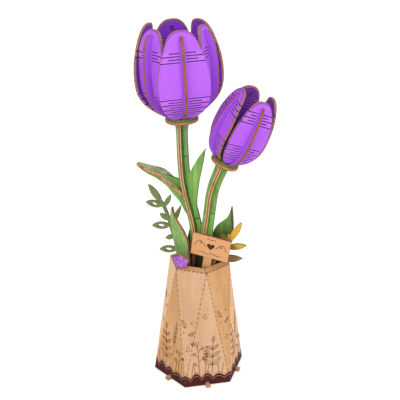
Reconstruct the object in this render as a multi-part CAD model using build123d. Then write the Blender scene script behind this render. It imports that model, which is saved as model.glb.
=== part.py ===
from build123d import *
import math
import os

# Two wooden tulips with leaves and twigs in a tall faceted vase, all cut from thin plywood.
# Millimetres. The origin is the middle of the vase's foot, +Z is up, and -Y is the front.

# Fits
fit_gap = 0.2
overrun = 1.0
skin_clear = 0.3
halvings = 30

# Vase: a skin folded into six triangles that point up and six that point down
sides = 6
bottom_corner_deg = -90.0
top_corner_deg = -60.0
vase_bottom_r = 46.4
vase_top_r = 30.6
vase_height = 120.7
skin_lift = 1.6
skin_wall = 1.4
mouth_r = 23.2
lip_rise = 1.6
lip_corner_gap = 1.2
notch_width = 4.8
notch_height = 4.0

# Plates inside the vase
base_thickness = 3.0
base_tab_width = 4.2
base_tab_reach = 3.6
base_inset = 0.6
deck_thickness = 3.0
deck_depth = 30.7
web_thickness = 3.0
web_place = 22.0
web_tab_width = 8.0
web_edge_room = 8.0
web_window_width = 16.0
web_window_height = 30.0

# Stems: flat plates with a proud strip along the front and the back
stem_plate = 3.0
stem_half_width = 6.0
strip_width = 3.2
strip_proud = 6.5
strip_tab_length = 4.0
stem_tab_width = 8.0
# Heights of the fork above the deck, and of the notch, joints and heads above the fork
fork_rise = 60.0
fork_notch_rise = 11.3
big_root_rise = 15.0
big_strip_rise = 54.0
big_top_rise = 77.0
big_head_rise = 111.0
small_root_rise = 22.0
small_head_rise = 73.7
fork_notch_x = 0.9
big_root_x = -3.6
small_root_x = 7.0
shank_half_width = 9.0
shank_middle_x = 1.7
shank_tab_half_width = 6.0

# Flower heads: the place of each lower disc's underside, and how far the head leans right and forward
big_head_x = -17.9
big_lean_deg = -2.2
big_forward_deg = 4.2
big_spin_deg = -2.6
small_head_x = 23.3
small_lean_deg = 24.2
small_spin_deg = 5.5

first_petal_deg = -60.0
big_petal_names = ("front", "right", "right_back", "back", "left_back", "left")
small_petal_names = ("front", "right", "back", "left")

disc_thickness = 2.5
big_disc_r = 15.4
small_disc_r = 13.5
disc_step = 0.5
petal_thickness = 2.2
rib_thickness = 2.6
rib_slot_length = 3.4

big_outer_height = 83.4
big_inner_height = 83.2
big_inner_foot_r = 7.8
big_outer_foot_r = 10.8
big_rib_foot_r = 14.5
big_inner_belly_r = 30.0
big_inner_rib_r = 37.7
big_outer_belly_r = 32.5
big_outer_rib_r = 39.2
big_inner_half_width = 16.9
big_outer_half_width = 22.8

small_petal_height = 69.0
small_petal_foot_r = 7.8
small_rib_foot_r = 12.5
small_belly_r = 19.8
small_rib_r = 26.6
small_half_width = 17.3

rib_tab_height = 3.6
rib_tab_reach = 1.6

# Rows of fine slits across each petal and the bent blade, which let them bend
slit_width = 0.45
slit_pitch = 2.6
slit_rib_room = 1.6
big_upper_slit_rows = 4
big_upper_slit_share = 0.69
big_lower_slit_rows = 8
big_lower_slit_share = 0.30
small_upper_slit_rows = 5
small_upper_slit_share = 0.70
small_lower_slit_rows = 7
small_lower_slit_share = 0.36
short_slit_share = 0.68

# Height shares, and shares of the way from the foot radius to the belly radius
big_petal_profile_shares = (
    (0, 0), (0.085, 0.39), (0.244, 0.875), (0.427, 1), (0.61, 0.99), (0.793, 0.92), (0.902, 0.83),
    (1, 0.71))
big_rib_profile_shares = (
    (0, 0), (0.085, 0.39), (0.244, 0.875), (0.427, 1), (0.61, 0.99), (0.793, 0.918), (0.902, 0.79),
    (0.945, 0.66))
small_petal_profile_shares = (
    (0, 0), (0.1, 0.57), (0.28, 0.95), (0.49, 1), (0.70, 0.94), (0.845, 0.82), (1, 0.62))
small_rib_profile_shares = (
    (0, 0), (0.1, 0.60), (0.28, 0.96), (0.49, 1), (0.70, 0.83), (0.845, 0.64), (0.93, 0.46))
rib_tab_share = 0.90
# Height shares and half-width shares of a petal's outline
inner_outline_shares = (
    (0, 0.24), (0.05, 0.36), (0.13, 0.60), (0.27, 0.90), (0.45, 1), (0.62, 1), (0.76, 0.96), (0.87, 0.84),
    (0.94, 0.64), (0.985, 0.38))
outer_outline_shares = (
    (0, 0.40), (0.05, 0.58), (0.13, 0.78), (0.27, 0.95), (0.45, 1), (0.62, 0.94), (0.76, 0.78),
    (0.87, 0.63), (0.94, 0.49), (0.985, 0.28))
small_outline_shares = (
    (0, 0.33), (0.05, 0.50), (0.13, 0.74), (0.27, 0.94), (0.45, 1), (0.62, 0.95), (0.76, 0.82),
    (0.87, 0.66), (0.94, 0.49), (0.985, 0.28))

# Shares of the way from a stem's root to its head, across and up, and shares of its half width on the way
big_line_shares = ((0, 0), (0.04, 0.06), (0.40, 0.254), (0.80, 0.489), (0.945, 0.714), (1, 0.897), (1, 1))
big_width_shares = ((0, 1), (0.35, 0.96), (0.55, 0.91), (0.9, 0.88), (1, 1.13))
small_line_shares = ((0, 0), (0.035, 0.08), (0.175, 0.339), (0.325, 0.59), (0.645, 0.82), (1, 1))
small_width_shares = ((0, 0.97), (0.3, 0.93), (0.6, 0.94), (0.85, 1), (1, 1.1))
even_shares = ((0, 1), (1, 1))
stem_samples = 14

# Leaf that grows to the right of the big stem, as part of its plate
side_leaf_tip_x = 7.4
side_leaf_tip_rise = 88.6
side_leaf_root_x = -1.2
side_leaf_right_shares = (
    (0.87, 0.98), (0.56, 0.832), (0.31, 0.673), (0.02, 0.49), (-0.13, 0.347), (-0.21, 0.225), (-0.15, 0.10))
side_leaf_left_shares = ((0.21, 0.88), (-0.44, 0.755), (-0.86, 0.66), (-1.12, 0.615), (-1.4, 0.57))

# Leaf that grows to the left of the big stem, with a bent blade across it
arched_tip_x = -63.4
arched_tip_rise = 63.8
arched_root_x = -15.0
arched_root_rise = 28.0
arched_low_shares = (
    (0.02, 0.94), (0.09, 0.86), (0.234, 0.75), (0.382, 0.674), (0.508, 0.579), (0.624, 0.466),
    (0.747, 0.284), (0.919, 0.014), (0.996, -0.18), (1.09, -0.33))
arched_high_shares = ((0.981, 0.716), (0.841, 0.711), (0.692, 0.758), (0.44, 0.831), (0.234, 0.93))
blade_line_shares = (
    (0, 1), (0.106, 0.95), (0.34, 0.874), (0.537, 0.803), (0.62, 0.719), (0.805, 0.531), (0.907, 0.42),
    (0.98, 0.325))
blade_thickness = 2.8
blade_half_width = 8.0
blade_outline_shares = ((0, 0.06), (0.12, 0.42), (0.35, 0.85), (0.6, 1), (0.85, 0.9), (1, 0.72))
blade_slit_rows = 9
blade_slit_share = 0.36
blade_slit_room = 1.2

# Loose leaves: each stands in the deck, faces one way and bows outwards as it rises
leaf_thickness = 2.4
leaf_foot_half_width = 3.2
front_leaf_height = 89.3
front_leaf_half_width = 10.0
front_leaf_x = -10.2
front_leaf_y = -9.4
front_leaf_facing_deg = -118.0
front_leaf_reach = 10.0
right_leaf_height = 87.8
right_leaf_half_width = 10.0
right_leaf_x = 11.7
right_leaf_y = 10.1
right_leaf_facing_deg = -92.0
right_leaf_reach = 0.8
back_leaf_height = 62.0
back_leaf_half_width = 7.0
back_leaf_x = -7.5
back_leaf_y = 11.5
back_leaf_facing_deg = 110.0
back_leaf_reach = 4.0
# Height shares, with shares of the outward reach, or of the half width at the left and right edges
leaf_bow_shares = ((0, 0), (0.25, 0.0), (0.5, 0.16), (0.74, 0.5), (1, 1))
front_leaf_outline_shares = (
    (0, -0.32, 0.32), (0.28, -0.45, 0.36), (0.35, -0.70, 0.40), (0.40, -1.22, 0.42), (0.45, -1.40, 0.45),
    (0.53, -1.48, 0.50), (0.62, -1.51, 0.49), (0.68, -1.50, 0.36), (0.74, -1.49, 0.12),
    (0.80, -1.48, -0.30), (0.86, -1.41, -0.68), (0.92, -1.24, -0.86), (1, -0.97, -0.88))
right_leaf_outline_shares = (
    (0, -0.31, 0.31), (0.30, -0.31, 0.33), (0.36, -0.32, 0.42), (0.44, -0.31, 0.95), (0.52, -0.27, 1.40),
    (0.60, -0.20, 1.70), (0.675, -0.04, 1.88), (0.73, 0.18, 1.96), (0.776, 0.54, 1.96), (0.82, 0.98, 1.94),
    (0.865, 1.34, 1.91), (0.924, 1.57, 1.87), (0.97, 1.70, 1.83), (1, 1.74, 1.79))
back_leaf_outline_shares = (
    (0, -0.45, 0.45), (0.30, -0.62, 0.62), (0.50, -0.88, 0.92), (0.66, -0.85, 1.15), (0.80, -0.48, 1.12),
    (0.90, -0.08, 0.90), (1, 0.62, 0.76))

# Twigs: flat plates with small leaves, some of them open frames
twig_thickness = 2.4
twig_stalk_half_width = 1.5
twig_leaf_half_width = 2.9
twig_frame = 2.0
twig_foot_half_width = 4.0
left_twig_foot_x = -13.0
left_twig_y = 0.0
left_twig_reach = -26.2
left_twig_height = 87.2
right_twig_foot_x = 13.5
right_twig_y = -7.2
right_twig_reach = 20.0
right_twig_height = 60.0
# Shares of the reach and of the height
left_twig_line_shares = ((0, 0), (0.17, 0.25), (0.31, 0.40), (0.58, 0.665), (0.77, 0.857), (1, 1))
right_twig_line_shares = ((0, 0), (0.045, 0.30), (0.155, 0.56), (0.60, 0.767), (1, 1))
# Each twig leaf's root and tip in the same shares, its share of the half width, and whether it is a frame
left_twig_leaf_shares = (
    ((0.966, 0.982), (1.496, 1.189), 1.1, False),
    ((0.924, 0.954), (1.611, 0.977), 1.2, True),
    ((0.885, 0.937), (0.630, 1.097), 0.8, False),
    ((0.714, 0.788), (1.057, 0.857), 0.8, False),
    ((0.618, 0.708), (0.229, 0.989), 0.8, False),
    ((0.637, 0.725), (1.382, 0.700), 1.25, True),
    ((0.504, 0.599), (0.847, 0.564), 0.8, False),
    ((0.359, 0.444), (1.095, 0.416), 1.25, True))
right_twig_leaf_shares = (
    ((0.945, 0.970), (1.485, 1.327), 1.1, False),
    ((0.775, 0.857), (1.755, 0.937), 1.05, False),
    ((0.345, 0.643), (1.575, 0.703), 1.25, False),
    ((0.87, 0.925), (0.51, 1.087), 0.8, False),
    ((0.93, 0.955), (0.90, 1.115), 0.7, False))

# Sign
stake_thickness = 2.4
stake_y = -12.0
stake_half_width = 4.0
stake_foot_x = 6.6
stake_length = 44.0
stake_backing = 10.0
crossbar_length = 17.0
crossbar_height = 2.6
sign_lean_deg = 7.7
sign_width = 37.2
sign_height = 22.2
sign_thickness = 2.0
sign_offset = 1.8

# Small purple blossom that leans forward on the lip, with a tongue through a slit in it
blossom_thickness = 2.4
blossom_x = -11.0
blossom_setback = 3.2
blossom_tip_r = 8.9
blossom_valley_r = 6.6
blossom_lobes = 5
blossom_lean_deg = 14.0
blossom_turn_deg = -4.0
tongue_width = 4.0
tongue_length = 7.0

# Heights that follow from the sizes above
deck_top = vase_height - deck_depth
fork_height = deck_top + fork_rise
fork_notch_height = fork_height + fork_notch_rise
big_root_joint = fork_height + big_root_rise
big_strip_joint = fork_height + big_strip_rise
big_top_joint = fork_height + big_top_rise
big_head_z = fork_height + big_head_rise
small_root_joint = fork_height + small_root_rise
small_head_z = fork_height + small_head_rise


def ring_points(radius, start_deg, z):
    step = 2 * math.pi / sides
    start = math.radians(start_deg)
    angles = [start + k * step for k in range(sides)]
    return [Vector(radius * math.cos(a), radius * math.sin(a), z) for a in angles]


def side_turn(k):
    """The turn from +X to the middle of one of the vase's bottom edges."""
    step = 360 / sides
    return Rot(0, 0, bottom_corner_deg + step / 2 + step * k)


def side_middle(radius):
    """How far the middle of a side lies from the axis, for corners on a radius."""
    return radius * math.cos(math.pi / sides)


def solid_from_faces(loops):
    """A closed solid with one flat face for each loop of points."""
    return Solid(Shell([Face(Wire.make_polygon(loop, close=True)) for loop in loops]))


def box_between(x0, x1, y0, y1, z0, z1):
    middle = Location(((x0 + x1) / 2, (y0 + y1) / 2, (z0 + z1) / 2))
    return middle * Box(abs(x1 - x0), abs(y1 - y0), abs(z1 - z0))


def upright_plate(outline, thickness, y_middle=0):
    """A plate in the XZ plane, given its closed outline as edges drawn at y = 0."""
    face = Pos(0, y_middle - thickness / 2, 0) * Face(Wire(outline))
    return extrude(face, amount=thickness, dir=(0, 1, 0))


def xz(points):
    return [Vector(x, 0, z) for x, z in points]


def closed_outline(a, b):
    """The edges round a band that lies between two curves, which run the same way."""
    return [curve(a), line(a[-1], b[-1]), curve(list(reversed(b))), line(b[0], a[0])]


def curve(points):
    return Spline(*points)


def line(a, b):
    return Line(a, b)


def polygon(points):
    return Wire.make_polygon(xz(points), close=True).edges()


def between(root, tip, shares):
    """Points given as shares of the way from root to tip, across and up."""
    return [(root[0] + (tip[0] - root[0]) * s, root[1] + (tip[1] - root[1]) * t) for s, t in shares]


def antiprism(bottom_r, top_r, z0, z1):
    low = ring_points(bottom_r, bottom_corner_deg, z0)
    high = ring_points(top_r, top_corner_deg, z1)
    loops = [list(reversed(low)), high]
    for k in range(sides):
        after = (k + 1) % sides
        loops.append([low[k], low[after], high[k]])
        loops.append([low[after], high[after], high[k]])
    return solid_from_faces(loops)


def vase_section(z, inset):
    """The twelve-sided outline of the vase at a height, drawn in by an inset."""
    share = (z - skin_lift) / (vase_height - skin_lift)
    low = ring_points(vase_bottom_r - inset, bottom_corner_deg, 0)
    high = ring_points(vase_top_r - inset, top_corner_deg, 0)
    points = []
    for k in range(sides):
        points.append(low[k] * (1 - share) + high[k] * share)
        points.append(low[(k + 1) % sides] * (1 - share) + high[k] * share)
    return [Vector(p.X, p.Y, z) for p in points]


def make_vase_skin():
    outer = antiprism(vase_bottom_r, vase_top_r, skin_lift, vase_height)
    slant = (vase_bottom_r - vase_top_r) / (vase_height - skin_lift)
    grow = overrun * slant
    inner = antiprism(
        vase_bottom_r - skin_wall + grow, vase_top_r - skin_wall - grow,
        skin_lift - overrun, vase_height + overrun)
    skin = outer - inner
    for k in range(sides):
        notch = box_between(
            vase_bottom_r / 2, vase_bottom_r, -notch_width / 2, notch_width / 2,
            skin_lift - overrun, skin_lift + notch_height)
        skin -= side_turn(k) * notch
    high = ring_points(vase_top_r, top_corner_deg, vase_height)
    mouth = ring_points(mouth_r, top_corner_deg, vase_height + lip_rise)
    for k in range(sides):
        after = (k + 1) % sides
        skin += lip_flap(high[k], high[after], mouth[after], mouth[k])
    return skin - blossom_tongue(fit_gap)


def lip_flap(outer_a, outer_b, inner_b, inner_a):
    """One side of the folded lip, drawn in a little at its mouth corners so that each flap stays apart."""
    along = (outer_b - outer_a).normalized()
    drawn_in = along * lip_corner_gap / 2
    near = along * fit_gap
    top = [outer_a + near, outer_b - near, inner_b - drawn_in, inner_a + drawn_in]
    drop = Vector(0, 0, skin_wall)
    low = [p - drop for p in top]
    loops = [top, list(reversed(low))]
    for k in range(4):
        after = (k + 1) % 4
        loops.append([top[k], low[k], low[after], top[after]])
    return solid_from_faces(loops)


def make_base_plate():
    outline = ring_points(vase_bottom_r - skin_wall - base_inset, bottom_corner_deg, 0)
    plate = extrude(Face(Wire.make_polygon(outline, close=True)), amount=base_thickness, dir=(0, 0, 1))
    edge_middle = side_middle(vase_bottom_r)
    for k in range(sides):
        tab = box_between(
            edge_middle / 2, edge_middle + base_tab_reach, -base_tab_width / 2, base_tab_width / 2,
            0, base_thickness)
        plate += side_turn(k) * tab
    middle = base_thickness / 2
    plate -= slot(shank_middle_x, 0, shank_tab_half_width, stem_plate / 2, middle, base_thickness)
    for side in (-1, 1):
        plate -= slot(side * web_place, 0, web_thickness / 2, web_tab_width / 2, middle, base_thickness)
    return plate


def slot(x, y, half_x, half_y, z0, z1):
    """A cut through a plate that lies between two heights, with the fit gap all round."""
    return box_between(
        x - half_x - fit_gap, x + half_x + fit_gap, y - half_y - fit_gap, y + half_y + fit_gap,
        z0, z1 + overrun)


def deck_low():
    return deck_top - deck_thickness


def make_stem_deck():
    outline = vase_section(deck_top, skin_wall + skin_clear)
    plate = extrude(Face(Wire.make_polygon(outline, close=True)), amount=deck_thickness, dir=(0, 0, -1))
    low = deck_low() - overrun
    plate -= slot(shank_middle_x, 0, shank_half_width, stem_plate / 2, low, deck_top)
    for side in (-1, 1):
        plate -= slot(side * web_place, 0, web_thickness / 2, web_tab_width / 2, low, deck_top)
    for x, y in ((left_twig_foot_x, left_twig_y), (right_twig_foot_x, right_twig_y)):
        plate -= slot(x, y, twig_foot_half_width, twig_thickness / 2, low, deck_top)
    plate -= slot(stake_foot_x, stake_y, stake_half_width / 2, stake_thickness / 2, low, deck_top)
    for x, y, facing in leaf_feet():
        foot = slot(0, 0, leaf_thickness / 2, leaf_foot_half_width, low, deck_top)
        plate -= Pos(x, y, 0) * Rot(0, 0, facing) * foot
    return plate


def leaf_feet():
    return (
        (front_leaf_x, front_leaf_y, front_leaf_facing_deg),
        (right_leaf_x, right_leaf_y, right_leaf_facing_deg),
        (back_leaf_x, back_leaf_y, back_leaf_facing_deg))


def make_inner_web(side):
    """An upright plate across the vase that holds the deck up from the base."""
    x = side * web_place
    low = base_thickness
    high = deck_low() - fit_gap
    share = (high - skin_lift) / (vase_height - skin_lift)
    half_low = vase_bottom_r / 2 - web_edge_room / 2
    half_high = half_low * (1 - share) + (vase_top_r / 2 - web_edge_room / 2) * share
    points = [(-half_low, low), (half_low, low), (half_high, high), (-half_high, high)]
    outline = [Vector(x - web_thickness / 2, y, z) for y, z in points]
    web = extrude(Face(Wire.make_polygon(outline, close=True)), amount=web_thickness, dir=(1, 0, 0))
    half = web_thickness / 2
    web += box_between(
        x - half, x + half, -web_tab_width / 2, web_tab_width / 2, base_thickness / 2 + fit_gap, low)
    web += box_between(x - half, x + half, -web_tab_width / 2, web_tab_width / 2, high, deck_top)
    middle = (low + high) / 2
    web -= box_between(
        x - web_thickness, x + web_thickness, -web_window_width / 2, web_window_width / 2,
        middle - web_window_height / 2, middle + web_window_height / 2)
    return web


def stem_line(root_x, head_x, head_z, shares):
    return [(root_x + (head_x - root_x) * s, fork_height + (head_z - fork_height) * t) for s, t in shares]


def sampled(points):
    """Points and unit normals at even steps along the smooth line through some points."""
    edge = curve(xz(points))
    found = []
    for k in range(stem_samples + 1):
        share = k / stem_samples
        along = edge % share
        found.append((edge @ share, Vector(along.Z, 0, -along.X)))
    return found


def share_at(shares, along):
    """The value of a table of shares at one place, run evenly between its rows."""
    for (a, low), (b, high) in zip(shares, shares[1:]):
        if along <= b:
            return low + (high - low) * (along - a) / (b - a)
    return shares[-1][1]


def ribbon(points, half_width, thickness, y_middle=0, width_shares=even_shares):
    """A flat band along a smooth line, whose half width follows a table of shares."""
    samples = sampled(points)
    left = []
    right = []
    for k, (place, normal) in enumerate(samples):
        half = half_width * share_at(width_shares, k / stem_samples)
        left.append(place - normal * half)
        right.append(place + normal * half)
    return upright_plate(closed_outline(right, left), thickness, y_middle)


def big_line():
    return stem_line(big_root_x, big_head_x, big_head_z, big_line_shares)


def small_line():
    return stem_line(small_root_x, small_head_x, small_head_z, small_line_shares)


def far():
    return vase_height * 3


def above(z):
    return box_between(-far(), far(), -far(), far(), z, far())


def below(z):
    return box_between(-far(), far(), -far(), far(), -far(), z)


def head_place(x, z, lean_deg, forward_deg=0):
    return Pos(x, 0, z) * Rot(0, lean_deg, 0) * Rot(forward_deg, 0, 0)


def big_place():
    return head_place(big_head_x, big_head_z, big_lean_deg, big_forward_deg)


def small_place():
    return head_place(small_head_x, small_head_z, small_lean_deg)


def under_disc(place):
    """Everything on the stem's side of a head's lower disc, less the fit gap."""
    return place * box_between(-far(), far(), -far(), far(), -far(), -fit_gap)


def stem_tab(x, z, lean_deg):
    """The tab of a stem's flat plate that goes up through the lower disc. It never leans forward."""
    half = stem_tab_width / 2
    thick = stem_plate / 2
    tab = box_between(-half, half, -thick, thick, -stem_half_width, disc_thickness - fit_gap)
    return head_place(x, z, lean_deg) * tab


def big_stem_body():
    return ribbon(big_line(), stem_half_width, stem_plate, width_shares=big_width_shares)


def small_stem_body():
    return ribbon(small_line(), stem_half_width, stem_plate, width_shares=small_width_shares)


def make_root_plate():
    """The forked plate that both stems grow from, down to the base."""
    both = big_stem_body() & below(big_root_joint)
    both += small_stem_body() & below(small_root_joint)
    left = big_root_x - stem_half_width
    right = small_root_x + stem_half_width
    shank_left = shank_middle_x - shank_half_width
    shank_right = shank_middle_x + shank_half_width
    shoulder = fork_height - stem_half_width
    shank = [
        (left, fork_height), (left, shoulder), (shank_left, deck_top), (shank_left, base_thickness),
        (shank_right, base_thickness), (shank_right, deck_top), (right, shoulder), (right, fork_height)]
    both += upright_plate(polygon(shank), stem_plate)
    web = [
        (big_root_x, fork_height), (fork_notch_x, fork_notch_height), (small_root_x, fork_height)]
    both += upright_plate(polygon(web), stem_plate)
    half = stem_plate / 2
    both += box_between(
        shank_middle_x - shank_tab_half_width, shank_middle_x + shank_tab_half_width, -half, half,
        base_thickness / 2 + fit_gap, base_thickness)
    return cut_strip_slots(both)


def arched_points(shares):
    """Points on the arched leaf, given as shares of the way from its tip across and from its root up."""
    root = (arched_root_x, fork_height + arched_root_rise)
    tip = (arched_tip_x, fork_height + arched_tip_rise)
    return between(root, tip, [(1 - across, up) for across, up in shares])


def arched_blade_solid(extra=0):
    """The bent blade across the left leaf, or the room it needs when extra is the fit gap."""
    points = arched_points(blade_line_shares)
    return ribbon(points, blade_thickness / 2 + extra, 2 * (blade_half_width + extra))


def make_arched_blade():
    band = arched_blade_solid()
    start = arched_tip_x - blade_thickness
    span = arched_root_x - start
    right = []
    left = []
    for s, half in blade_outline_shares:
        x = start + span * s
        right.append(Vector(x, -blade_half_width * half, 0))
        left.append(Vector(x, blade_half_width * half, 0))
    trim = extrude(Face(Wire(closed_outline(right, left))), amount=far(), dir=(0, 0, 1))
    return (band & trim) - blade_slits() - strip_room(big_line())


def blade_slits():
    """Slits across the blade where it bends, on both sides of the flat leaf."""
    edge = curve(xz(arched_points(blade_line_shares)))
    inner = stem_plate / 2 + blade_slit_room
    length = edge.length
    slits = []
    for k in range(blade_slit_rows):
        share = blade_slit_share + k * slit_pitch / 2 / length
        along = edge % share
        turn = Rot(0, math.degrees(math.atan2(along.X, along.Z)), 0)
        place = edge @ share
        back = blade_half_width + overrun if k % 2 else blade_half_width - blade_slit_room
        for y0, y1 in ((inner, back), (-blade_half_width + blade_slit_room, -inner)):
            cut = box_between(-blade_thickness, blade_thickness, y0, y1, -slit_width / 2, slit_width / 2)
            slits.append(Pos(place.X, 0, place.Z) * turn * cut)
    return slits


def side_leaf_face():
    low = big_root_joint + fit_gap
    tip = (side_leaf_tip_x, fork_height + side_leaf_tip_rise)
    root = (side_leaf_root_x, low)
    right = between(root, tip, side_leaf_right_shares)
    left = between(root, tip, side_leaf_left_shares)
    inward = (big_root_x - stem_half_width / 2, low)
    return [
        curve(xz([tip] + right + [root])), line(*xz([root, inward])), line(*xz([inward, left[-1]])),
        curve(xz(list(reversed(left)) + [tip]))]


def arched_leaf_face():
    tip = (arched_tip_x, fork_height + arched_tip_rise)
    low = arched_points(arched_low_shares)
    high = arched_points(arched_high_shares)
    return [curve(xz([tip] + low)), line(*xz([low[-1], high[0]])), curve(xz(high + [tip]))]


def make_big_stem_middle():
    plate = big_stem_body() & above(big_root_joint + fit_gap) & below(big_top_joint)
    plate += upright_plate(side_leaf_face(), stem_plate)
    plate += upright_plate(arched_leaf_face(), stem_plate) & above(big_root_joint + fit_gap)
    plate -= arched_blade_solid(fit_gap)
    return cut_strip_slots(plate)


def make_big_stem_top():
    plate = big_stem_body() & above(big_top_joint + fit_gap) & under_disc(big_place())
    return cut_strip_slots(plate + stem_tab(big_head_x, big_head_z, big_lean_deg))


def make_small_stem_top():
    plate = small_stem_body() & above(small_root_joint + fit_gap) & under_disc(small_place())
    return cut_strip_slots(plate + stem_tab(small_head_x, small_head_z, small_lean_deg))


def strip_foot(points):
    """A stem's line carried on straight down to the deck."""
    return [(points[0][0], deck_top), (points[0][0], (deck_top + fork_height) / 2)] + points


def strip_band(points, side, half_width, reach):
    middle = side * (stem_plate / 2 + fit_gap + reach / 2)
    return ribbon(strip_foot(points), half_width, reach, middle)


def strip_room(points):
    """The space of a stem's two strips with the fit gap round them."""
    room = strip_band(points, -1, strip_width / 2 + fit_gap, strip_proud + fit_gap)
    return room + strip_band(points, 1, strip_width / 2 + fit_gap, strip_proud + fit_gap)


def tab_heights(joints, head_z):
    """Heights at which strip tabs go into the plates: low, on both sides of each joint, and high."""
    room = strip_tab_length * 2
    heights = [deck_top + room + strip_tab_length]
    for joint in joints:
        heights += [joint - room, joint + room]
    return heights + [head_z - room - strip_tab_length]


def big_tabs():
    low = tab_heights((big_root_joint, big_strip_joint), big_head_z)
    return low + [big_top_joint + strip_tab_length * 2]


def small_tabs():
    return tab_heights((small_root_joint,), small_head_z)


def tab_band(points, height, half_width, depth, y_middle):
    """A short piece of a strip's band at one height, for a tab or its slot."""
    half = depth / 2
    band = ribbon(strip_foot(points), half_width, depth, y_middle)
    return band & box_between(-far(), far(), y_middle - half, y_middle + half, height[0], height[1])


def cut_strip_slots(plate):
    """Slots through a stem plate for the tabs of the front and back strips."""
    for points, heights in ((big_line(), big_tabs()), (small_line(), small_tabs())):
        for z in heights:
            room = (z - strip_tab_length / 2 - fit_gap, z + strip_tab_length / 2 + fit_gap)
            plate -= tab_band(points, room, strip_width / 2 + fit_gap, stem_plate + overrun, 0)
    return plate


def make_strip(points, heights, side, low, high, place):
    strip = strip_band(points, side, strip_width / 2, strip_proud)
    strip = strip & above(low) & below(high) & under_disc(place)
    half = stem_plate / 2
    depth = half + fit_gap
    for z in heights:
        if low < z < high:
            ends = (z - strip_tab_length / 2, z + strip_tab_length / 2)
            middle = side * (half + fit_gap - depth / 2 + fit_gap / 2)
            strip += tab_band(points, ends, strip_width / 2, depth, middle)
    return strip


def profile_points(foot_r, belly_r, height, shares):
    return [(foot_r + (belly_r - foot_r) * r, height * h) for h, r in shares]


def offset_curve(points, offset):
    """Points of a smooth line moved outwards by an offset."""
    return [place + normal * offset for place, normal in sampled(points)]


def petal_solid(profile, outline_shares, half_width, height, tab_z, tab_x, slits):
    """A bent petal about its own axis, facing +X, trimmed to its outline and slotted for its rib's tab."""
    half = petal_thickness / 2
    inner = offset_curve(profile, -half)
    outer = offset_curve(profile, half)
    outline = closed_outline(inner, outer)
    face = Pos(0, -half_width, 0) * Face(Wire(outline))
    band = extrude(face, amount=2 * half_width, dir=(0, 1, 0))
    right = [Vector(0, half_width * w, height * h) for h, w in outline_shares]
    left = [Vector(0, -p.Y, p.Z) for p in right]
    crown = Vector(0, 0, height)
    edge = [curve(right + [crown] + list(reversed(left))), line(left[0], right[0])]
    trim = extrude(Face(Wire(edge)), amount=far(), dir=(1, 0, 0))
    low = box_between(0, far(), -far(), far(), fit_gap, far())
    room = box_between(
        tab_x - rib_slot_length, tab_x + rib_slot_length,
        -rib_thickness / 2 - fit_gap, rib_thickness / 2 + fit_gap,
        tab_z - rib_tab_height / 2 - fit_gap, tab_z + rib_tab_height / 2 + fit_gap)
    return (band & trim & low) - room - slits


def petal_slits(profile, outline_shares, half_width, height, upper, lower):
    """Rows of slits on both sides of the rib. Every other row runs out through the petal's edge."""
    rows = [height * upper[1] + k * slit_pitch for k in range(upper[0])]
    rows += [height * lower[1] - k * slit_pitch for k in range(lower[0])]
    inner = rib_thickness / 2 + slit_rib_room
    half = slit_width / 2
    slits = []
    for k, z in enumerate(rows):
        x = radius_at(profile, z)
        edge = half_width * share_at(outline_shares, z / height)
        end = edge * short_slit_share if k % 2 else edge + overrun
        for side in (-1, 1):
            slits.append(box_between(
                x - 2 * petal_thickness, x + 2 * petal_thickness, side * inner, side * end,
                z - half, z + half))
    return slits


def radius_at(points, z):
    """How far out a smooth rising line is at one height."""
    edge = curve(xz(points))
    low = 0
    high = 1
    for _ in range(halvings):
        middle = (low + high) / 2
        if (edge @ middle).Z < z:
            low = middle
        else:
            high = middle
    return (edge @ low).X


def rib_seat(petal_profile):
    """The smooth line that a rib's inner edge follows, just outside its petal."""
    return [(p.X, p.Z) for p in offset_curve(petal_profile, petal_thickness / 2 + fit_gap)]


def rib_solid(petal_profile, rib_profile, tab_z, tab_x):
    """A rib that stands on edge along the back of its petal, with a foot below and a tab near the top."""
    seat = rib_seat(petal_profile)
    end_z = rib_profile[-1][1]
    foot_in = Vector(radius_at(seat, 0), 0, 0)
    edge_top = Vector(radius_at(seat, end_z), 0, end_z)
    inner = [Vector(x, 0, z) for x, z in seat if fit_gap < z < end_z - rib_tab_height / 2]
    inner = [foot_in] + inner + [edge_top]
    outer = xz(rib_profile)
    outline = [
        curve(outer), line(outer[-1], edge_top), curve(list(reversed(inner))), line(foot_in, outer[0])]
    half = rib_thickness / 2
    rib = upright_plate(outline, rib_thickness)
    rib += box_between(foot_in.X, outer[0].X, -half, half, -disc_thickness, 0)
    rib += box_between(
        tab_x - petal_thickness / 2 - rib_tab_reach, tab_x + rib_tab_height, -half, half,
        tab_z - rib_tab_height / 2, tab_z + rib_tab_height / 2)
    return rib


def head_pieces(name, place, spin_deg, names, sizes):
    """The petals and ribs of one head. Sizes are given for each kind of petal in turn round the head."""
    made = {}
    stand = place * Pos(0, 0, 2 * disc_thickness)
    for k, where in enumerate(names):
        size = sizes[k % len(sizes)]
        petal_line = profile_points(size["foot"], size["belly"], size["height"], size["petal"])
        rib_line = profile_points(size["rib_foot"], size["rib"], size["height"], size["rib_shares"])
        tab_z = size["height"] * rib_tab_share
        tab_x = radius_at(petal_line, tab_z)
        turn = stand * petal_turn(spin_deg, k, len(names))
        shape = (petal_line, size["outline"], size["half_width"], size["height"])
        slits = petal_slits(*shape, size["upper_slits"], size["lower_slits"])
        made[f"{name}_petal_{where}"] = turn * petal_solid(*shape, tab_z, tab_x, slits)
        made[f"{name}_rib_{where}"] = turn * rib_solid(petal_line, rib_line, tab_z, tab_x)
    return made


def petal_turn(spin_deg, k, count):
    return Rot(0, 0, first_petal_deg + spin_deg + 360 * k / count)


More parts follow.
